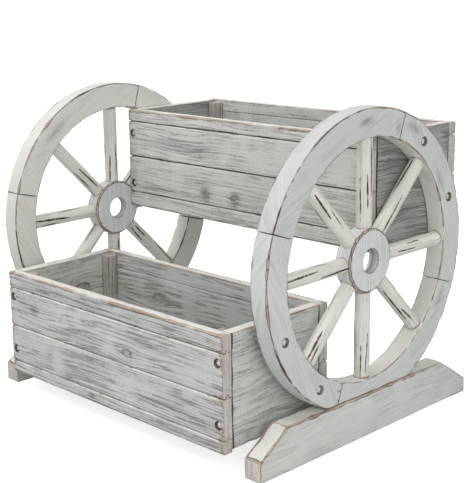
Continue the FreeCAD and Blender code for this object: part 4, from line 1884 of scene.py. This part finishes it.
        skin = Skin(s, a, b, place, seed_of(node))
        turn = np.linspace(0.0, 2.0 * math.pi, s.shape[1], endpoint=False)
        round_angle = np.broadcast_to(turn, s.shape)
        skin.grain[..., 0] = s
        skin.grain[..., 1] = self.spoke_radius * round_angle
        rng = np.random.default_rng(skin.seed + Draw.PLACES)
        for number in range(7):
            middle = rng.uniform(low + 0.025, high - 0.025)
            half_length = rng.uniform(0.012, 0.045)
            where = 2.0 * math.pi * (number + rng.uniform(-0.4, 0.4)) / 7.0
            half_width = rng.uniform(0.0007, 0.0018)
            along = (s - middle) / half_length
            lean = where + 0.18 * along * rng.uniform(-1.0, 1.0)
            apart = (round_angle - lean + math.pi) % (2.0 * math.pi) - math.pi
            width = half_width * np.sqrt(np.clip(1.0 - along**2, 1e-6, 1.0))
            lens = np.clip(1.0 - self.spoke_radius * np.abs(apart) / (2.0 * width), 0.0, 1.0)
            lens = lens * (np.abs(along) < 1.0)
            skin.split = np.maximum(skin.split, lens)
        skin.split *= 0.72 + 0.28 * wander(skin.sabs, skin.seed + Draw.SPLITS, (0.018, 0.007))
        skin.whiten(np.abs(0.25 - skin.split), 0.1, 0.7)
        skin.dent += 0.0011 * smoothstep(skin.split, 0.25, 0.95)
        skin.sag(0.00018, (0.09, 0.03))
        to_end = np.minimum(s - self.hub_radius, self.inner_radius - s)
        # Darker near both ends, where the spokes enter their sockets: soot and painted shade.
        skin.darken(0.5 * np.exp(-np.abs(to_end) / 0.005))
        skin.line(np.abs(to_end), 0.0006)
        skin.wear_arris(np.abs(self.inner_radius - s), 0.0040, 0.6, 0.9)
        name = node.replace("_spoke_", "_turned_spoke_")
        return make_piece(name, skin, node, finish)

    def hub(self, finish: Material) -> Object:
        """Make the turned hub with its bore and sockets.

        Args:
            finish: Its material.

        Returns:
            The piece. Its section is carried round the axle and closed. The
            recess behind the bore opens towards -x on both wheels.
        """
        node = f"{self.side.word}_wheel_hub"
        half, radius, bevel = self.hub_width / 2, self.hub_radius, self.hub_bevel
        sign = float(self.side.value)
        corners = np.array(
            [
                (-half, self.recess_radius),
                (-half, radius - bevel),
                (bevel - half, radius),
                (half - bevel, radius),
                (half, radius - bevel),
                (half, self.bore_radius),
                (self.recess_depth - half, self.bore_radius),
                (self.recess_depth - half, self.recess_radius),
            ]
        ) * np.array([sign, 1.0])
        section = Section(corners, 0.0012, 0.0018)
        turn = np.linspace(0.0, 2.0 * math.pi, 176, endpoint=False)
        profile = section.ring()
        s = np.broadcast_to(turn[:, None], (len(turn), len(profile))).copy()
        a = np.broadcast_to(profile[:, 0], s.shape).copy()
        b = np.broadcast_to(profile[:, 1], s.shape).copy()

        def place(s: Array, a: Array, b: Array) -> Array:
            """Turn the section by s, with a out of the wheel and b as radius."""
            return self.spot(b * np.cos(s), b * np.sin(s), a)

        skin = Skin(s, a, b, place, seed_of(node), closed=True)
        flat = place(s, a, b)
        skin.grain = np.stack([flat[..., 2], flat[..., 1] + 0.6 * a], axis=-1)
        from_rim = np.hypot(half - np.abs(a), radius - b)
        skin.rub(from_rim, 0.0026, 0.3)
        from_bore = np.hypot(half - sign * a, b - self.bore_radius)
        skin.rub(from_bore, 0.0011)
        skin.line(np.abs(from_bore - 0.0022), 0.0005, 0.3)
        patches = wander(flat, skin.seed + Draw.PATCHES, (0.06, 0.025))
        skin.soot = 0.5 * smoothstep(patches, 0.3, 1.0)
        # Painted shade inside the bore, darker deeper in.
        inside = smoothstep(half - sign * a, 0.0, 0.012) * (b < self.bore_radius + 0.002)
        skin.shade = np.maximum(skin.shade, 0.85 * inside)
        skin.sag(0.0002, (0.04, 0.02), flat)
        drills = []
        for number in range(8):
            angle = math.radians(45.0 * number)
            way = (0.0, -math.cos(angle), -math.sin(angle))
            start = (
                sign * self.centre_x,
                self.axle_y + (self.hub_radius + 0.001) * math.cos(angle),
                self.axle_z + (self.hub_radius + 0.001) * math.sin(angle),
            )
            drills.append(
                Drill(start, way, self.spoke_radius + 0.0001, self.socket_depth + 0.001)
            )
        name = f"{self.side.word}_wheel_turned_hub"
        return make_piece(name, skin, node, finish, (drills,))

    def screw_seats(self) -> list[Seat]:
        """Seats of the screws through the rim, in the order of their angles."""
        sign = float(self.side.value)
        x = sign * (self.centre_x + self.thickness / 2 - self.counterbore_depth)
        word = f"{self.side.word}_rim_screw"
        return [
            Seat(f"{word}_{number}", (x, *self.rim_spot(angle)), (sign, 0.0, 0.0))
            for number, angle in enumerate(self.screw_angles, start=1)
        ]

    def build(
        self, rims: Material, spokes: Material, hubs: Material
    ) -> None:
        """Make every piece of the wheel.

        Args:
            rims: Finish of the felloes.
            spokes: Finish of the spokes.
            hubs: Finish of the hub.
        """
        for index in range(4):
            self.felloe(index, rims)
        for index in range(8):
            self.spoke(index, spokes)
        self.hub(hubs)


@dataclass
class Foot:
    """A long foot under a wheel, both ends sloped off."""

    side: Side
    inner_x: float = 0.280
    width: float = 0.032
    front: float = -0.244
    back: float = 0.264
    height: float = 0.070
    front_height: float = 0.031
    front_run: float = 0.059
    back_height: float = 0.024
    back_run: float = 0.069
    screw_places: tuple[float, ...] = (-0.088, 0.062)
    counterbore_radius: float = 0.0065
    counterbore_depth: float = 0.053
    pilot_radius: float = 0.0021
    # Painted shade over the whole foot.
    shade: float = 0.0

    def top(self, y: Array) -> Array:
        """Height of the foot at y: flat, and straight down to both ends."""
        front = (y - self.front) / self.front_run
        back = (self.back - y) / self.back_run
        rise = self.front_height + (self.height - self.front_height) * front
        fall = self.back_height + (self.height - self.back_height) * back
        return np.minimum(np.minimum(rise, fall), self.height)

    def build(self, finish: Material) -> Object:
        """Make the foot.

        Args:
            finish: Its material.

        Returns:
            The piece.
        """
        node = f"{self.side.word}_foot"
        wide, tall, sign = self.width, self.height, float(self.side.value)
        corners = np.array([(0.0, 0.0), (0.0, tall), (wide, tall), (wide, 0.0)])
        section = Section(corners, 0.0018, 0.0022, 5)
        breaks = [self.front, self.front + self.front_run, self.back - self.back_run, self.back]
        spans = [steps(low, high, 0.0024) for low, high in zip(breaks[:-1], breaks[1:])]
        close = [spot + shift for spot in breaks[1:3] for shift in (-0.0008, 0.0008)]
        places = np.unique(np.concatenate([*spans, close]))
        s, a, b = bar(section, places, 0.0015)

        def place(s: Array, a: Array, b: Array) -> Array:
            """Run s along y, a out from the boxes and b up, scaled to the top."""
            return np.stack([sign * (self.inner_x + a), s, b * self.top(s) / tall], axis=-1)

        skin = Skin(s, a, b, place, seed_of(node))
        rng = np.random.default_rng(skin.seed + Draw.PLACES)
        top = self.top(s)
        height = b * top / tall
        wave = wander(skin.sabs, skin.seed + Draw.GRAIN, (0.4, 0.17))
        skin.grain[..., 1] = height + a + 0.004 * wave
        to_face = np.minimum(a, wide - a)
        skin.rub(np.hypot(to_face, top - height), 0.0030, 0.6)
        # Painted light on the top and the slopes.
        skin.whiten(np.abs(top - height), 0.0015, 0.7)
        skin.rub(np.hypot(to_face, height), 0.0013, 0.8)
        for spot, width in zip(breaks, (0.0034, 0.0010, 0.0010, 0.0030)):
            skin.rub(np.hypot(s - spot, top - height), width)
        to_end = np.minimum(s - self.front, self.back - s)
        skin.rub(np.hypot(to_end, to_face), 0.0016, 0.7)
        # Darker near the floor towards both ends: soot and painted shade.
        skin.darken(0.7 * np.exp(-to_end / 0.02) * np.exp(-height / 0.012))
        skin.cloud(0.3, (0.2, 0.08), 0.2, 0.9)
        skin.shade[...] = self.shade
        count = 22
        along = rng.uniform(self.front, self.back, count)
        face = rng.choice([0.0, wide], count)
        skin.knock(np.stack([along, face, np.full(count, tall)], axis=1), 0.0030, 0.0008)
        skin.sag(0.00025, (0.15, 0.06))
        starts = [(sign * (self.inner_x + wide / 2), y, 0.0) for y in self.screw_places]
        up = (0.0, 0.0, 1.0)
        wide_hole = (self.counterbore_radius, self.counterbore_depth)
        bores = [Drill(spot, up, *wide_hole) for spot in starts]
        pilots = [Drill(spot, up, self.pilot_radius, tall + 0.002) for spot in starts]
        name = f"{self.side.word}_long_foot"
        return make_piece(name, skin, node, finish, (bores, pilots))

    def screw_seats(self) -> list[Seat]:
        """Seats of the screws that come up from the foot into the rim."""
        x = self.side.value * (self.inner_x + self.width / 2)
        z = self.counterbore_depth
        return [
            Seat(f"{self.side.word}_foot_{word}_screw", (x, y, z), (0.0, 0.0, -1.0))
            for word, y in zip(("front", "back"), self.screw_places)
        ]


# ---------------------------------------------------------------------------
# Studio


@dataclass
class Studio:
    """Camera, soft lights, white surroundings and a pale floor.

    The camera's numbers are its place, its turn in degrees, its focal length
    and its middle point, both in pixels of a picture of 471 by 483. The floor's
    glow is only seen by the camera, and turns the lit floor white.
    """

    picture_width: float = 471.0
    picture_height: float = 483.0
    focal_pixels: float = 1141.6
    middle: tuple[float, float] = (184.4, 234.5)
    place: tuple[float, float, float] = (1.33690, -1.33325, 0.71923)
    yaw: float = 47.096
    pitch: float = 13.277
    roll: float = -1.288
    sensor: float = 36.0
    world_light: float = 0.56
    floor_white: float = 0.66
    floor_glow: float = 0.76
    floor_half: float = 20.0

    def camera(self) -> None:
        """Set the camera up at the photograph's viewing angle."""
        data = bpy.data.cameras.new("camera")
        data.sensor_width = self.sensor
        data.lens = self.focal_pixels * self.sensor / self.picture_height
        data.shift_x = (self.picture_width / 2 - self.middle[0]) / self.picture_height
        data.shift_y = (self.middle[1] - self.picture_height / 2) / self.picture_height
        data.clip_start, data.clip_end = 0.05, 60.0
        yaw, pitch, roll = (math.radians(angle) for angle in (self.yaw, self.pitch, self.roll))
        ahead = Vector(
            (-math.sin(yaw) * math.cos(pitch), math.cos(yaw) * math.cos(pitch), -math.sin(pitch))
        )
        right = Vector((math.cos(yaw), math.sin(yaw), 0.0))
        up = right.cross(ahead)
        turned_right = right * math.cos(roll) + up * math.sin(roll)
        turned_up = up * math.cos(roll) - right * math.sin(roll)
        matrix = Matrix((turned_right, turned_up, -ahead)).transposed().to_4x4()
        matrix.translation = Vector(self.place)
        camera = bpy.data.objects.new("camera", data)
        camera.matrix_world = matrix
        bpy.context.scene.collection.objects.link(camera)
        bpy.context.scene.camera = camera

    def lamp(self, name: str, place: tuple[float, float, float], size: float, power: float) -> None:
        """Hang a soft square lamp that faces the stand.

        Args:
            name: Name of the lamp.
            place: Its place.
            size: Length of its side.
            power: Its power in watts.
        """
        data = bpy.data.lights.new(name, "AREA")
        data.size, data.energy = size, power
        lamp = bpy.data.objects.new(name, data)
        lamp.location = place
        towards = Vector((0.0, 0.0, 0.22)) - Vector(place)
        lamp.rotation_euler = towards.to_track_quat("-Z", "Y").to_euler()
        bpy.context.scene.collection.objects.link(lamp)

    def surroundings(self) -> None:
        """White for the camera, for gloss and through glass, softer as light."""
        world = bpy.data.worlds.new("white_studio")
        world.use_nodes = True
        tree = world.node_tree
        background = tree.nodes["Background"]
        background.inputs["Color"].default_value = (1.0, 1.0, 1.0, 1.0)
        path = tree.nodes.new("ShaderNodeLightPath")
        seen = path.outputs["Is Camera Ray"]
        for ray in ("Is Glossy Ray", "Is Transmission Ray"):
            either = tree.nodes.new("ShaderNodeMath")
            either.operation = "MAXIMUM"
            tree.links.new(seen, either.inputs[0])
            tree.links.new(path.outputs[ray], either.inputs[1])
            seen = either.outputs[0]
        strength = tree.nodes.new("ShaderNodeMapRange")
        strength.inputs["To Min"].default_value = self.world_light
        strength.inputs["To Max"].default_value = 1.0
        tree.links.new(seen, strength.inputs["Value"])
        tree.links.new(strength.outputs[0], background.inputs["Strength"])
        bpy.context.scene.world = world

    def ground(self) -> None:
        """Lay the pale floor, which keeps the stand's shadow."""
        half, white = self.floor_half, self.floor_white
        mesh = bpy.data.meshes.new("studio_floor")
        corners = [(-half, -half, 0.0), (half, -half, 0.0), (half, half, 0.0), (-half, half, 0.0)]
        mesh.from_pydata(corners, [], [[0, 1, 2, 3]])
        g = Graph("pale_floor")
        g.shader.inputs["Base Color"].default_value = (white, white, white, 1.0)
        g.shader.inputs["Roughness"].default_value = 0.9
        path = g.tree.nodes.new("ShaderNodeLightPath")
        glow = g.times(path.outputs["Is Camera Ray"], self.floor_glow)
        g.shader.inputs["Emission Color"].default_value = (1.0, 1.0, 1.0, 1.0)
        g.link(glow, g.shader.inputs["Emission Strength"])
        mesh.materials.append(g.material)
        floor = bpy.data.objects.new("studio_floor", mesh)
        bpy.context.scene.collection.objects.link(floor)

    def build(self) -> None:
        """Set up the whole studio."""
        self.camera()
        self.surroundings()
        self.ground()
        self.lamp("top_lamp", (-0.5, -1.4, 3.0), 2.0, 44.0)
        self.lamp("side_lamp", (2.8, -1.6, 1.5), 2.0, 33.0)
        settings = bpy.context.scene.view_settings
        settings.view_transform = "Standard"


# ---------------------------------------------------------------------------
# The stand


# Angle of the first felloe joint, then the marks of the boards: knots and dark
# patches, by their places along and across each board.
FIRST_JOINTS = {Side.LEFT: 75.0, Side.RIGHT: 70.0}
LOWER_KNOTS = {
    "lower_box_front_board_2": (Knot(0.0495, 0.0200, 0.0062, 0.8),),
    "lower_box_back_board_2": (Knot(0.110, 0.030, 0.008),),
    "lower_box_left_end": (Knot(0.030, 0.120, 0.009),),
}
LOWER_SMUDGES = {
    "lower_box_front_board_2": (
        Smudge(-0.192, 0.039, 0.012, 0.009, 1.2),
        Smudge(-0.104, 0.018, 0.048, 0.005, 1.1),
        Smudge(-0.088, 0.064, 0.018, 0.002, 1.0),
        Smudge(0.010, 0.003, 0.026, 0.003, 1.1),
    ),
    "lower_box_front_board_3": (
        Smudge(0.150, 0.022, 0.070, 0.007, 1.0),
        Smudge(0.190, 0.040, 0.030, 0.003, 1.0),
    ),
    "lower_box_front_board_4": (Smudge(-0.042, 0.012, 0.009, 0.005, 1.3),),
    "lower_box_front_board_1": (Smudge(-0.120, 0.008, 0.090, 0.004, 0.8),),
    "lower_box_right_end": (
        Smudge(-0.064, 0.014, 0.011, 0.006, 1.4),
        Smudge(-0.040, 0.150, 0.050, 0.012, 0.8),
        Smudge(-0.030, 0.118, 0.040, 0.004, 0.8),
        Smudge(-0.020, 0.060, 0.030, 0.005, 0.8),
    ),
}
# Brush marks on the rims, by length of arc and radius.
RIM_SMUDGES = {
    "right_wheel_felloe_1": (
        Smudge(0.0866, 0.2120, 0.020, 0.008, 1.3),
        Smudge(0.010, 0.205, 0.008, 0.012, 1.2),
    ),
    "right_wheel_felloe_4": (
        Smudge(0.300, 0.215, 0.024, 0.008, 1.1),
        Smudge(0.180, 0.200, 0.030, 0.008, 0.9),
    ),
    "right_wheel_felloe_3": (Smudge(0.300, 0.205, 0.030, 0.008, 0.9),),
    "left_wheel_felloe_1": (Smudge(0.200, 0.210, 0.040, 0.008, 0.9),),
}
# Chips in the front arrises of a rim, by length of arc and radius.
RIM_CHIPS = {
    "right_wheel_felloe_1": (
        (0.249, 0.232), (0.2555, 0.231), (0.261, 0.232), (0.267, 0.231), (0.273, 0.232)
    ),
    "right_wheel_felloe_2": (
        (0.313, 0.232), (0.327, 0.188), (0.327, 0.204), (0.327, 0.221), (0.327, 0.231)
    ),
    "right_wheel_felloe_4": ((0.320, 0.231), (0.326, 0.222), (0.060, 0.188), (0.140, 0.188)),
}
UPPER_KNOTS = {
    "upper_box_back_board_2": (Knot(-0.140, 0.030, 0.008),),
}
UPPER_SMUDGES = {
    "upper_box_front_board_2": (Smudge(-0.150, 0.030, 0.090, 0.010, 0.8),),
    "upper_box_front_board_3": (
        Smudge(-0.200, 0.014, 0.050, 0.005, 0.6),
        Smudge(-0.079, 0.019, 0.014, 0.012, 1.7, 0.5),
        Smudge(-0.006, 0.018, 0.012, 0.014, 1.7, 0.5),
    ),
    "upper_box_right_end": (
        Smudge(-0.045, 0.130, 0.060, 0.014, 1.3),
        Smudge(0.010, 0.095, 0.070, 0.012, 1.2),
        Smudge(-0.040, 0.050, 0.045, 0.012, 1.3),
        Smudge(0.060, 0.030, 0.050, 0.010, 1.0),
    ),
}


def main() -> None:
    """Build the stand and the studio, and report each piece."""
    logging.basicConfig(level=logging.INFO, format="%(name)s: %(message)s")
    finishes = Finishes()
    boards = finishes.boards.material()
    inside = finishes.inside.material()
    rims = finishes.rims.material()
    spokes = finishes.spokes.material()
    hubs = finishes.hubs.material()
    feet = finishes.feet.material()
    lower_heights = (0.027, 0.068, 0.064, 0.021)
    upper_heights = (0.021, 0.065, 0.067, 0.027)
    lower = PlanterBox(
        Tier.LOWER, -0.264, 0.034, lower_heights, 0.518, board_white=0.22, knots=LOWER_KNOTS,
        smudges=LOWER_SMUDGES
    )
    # The upper box's ends, behind the spokes, get painted shade.
    upper = PlanterBox(
        Tier.UPPER, 0.034, 0.281, upper_heights, 0.560, joint_shadow=0.0016, joint_white=0.55,
        end_soot=0.6, end_white=0.0, end_shade=0.6, board_white=0.36,
        knots=UPPER_KNOTS, smudges=UPPER_SMUDGES,
    )
    # The left wheel gets painted light against the shade that the boxes cast on it.
    wheels = [
        WagonWheel(Side.LEFT, FIRST_JOINTS[Side.LEFT], rim_white=0.42),
        WagonWheel(Side.RIGHT, FIRST_JOINTS[Side.RIGHT]),
    ]
    # The left foot gets painted shade, as it stands in the shadow under the boxes.
    stands = [Foot(Side.LEFT, shade=0.3), Foot(Side.RIGHT)]
    lower.peg_spots = tuple(wheels[0].rim_spot(angle) for angle in wheels[0].peg_angles)
    lower.build(boards, inside)
    upper.build(boards, inside)
    for wheel in wheels:
        wheel.build(rims, spokes, hubs)
        for number, spot in enumerate(lower.peg_spots, start=1):
            BoxPeg(wheel.side, *spot).build(number, inside)
    for stand in stands:
        stand.build(feet)
    steel = finishes.screws.material()
    for part in (lower, upper, *wheels, *stands):
        for seat in part.screw_seats():
            Screw().build(seat, steel)
    Studio().build()


if __name__ == "__main__":
    main()
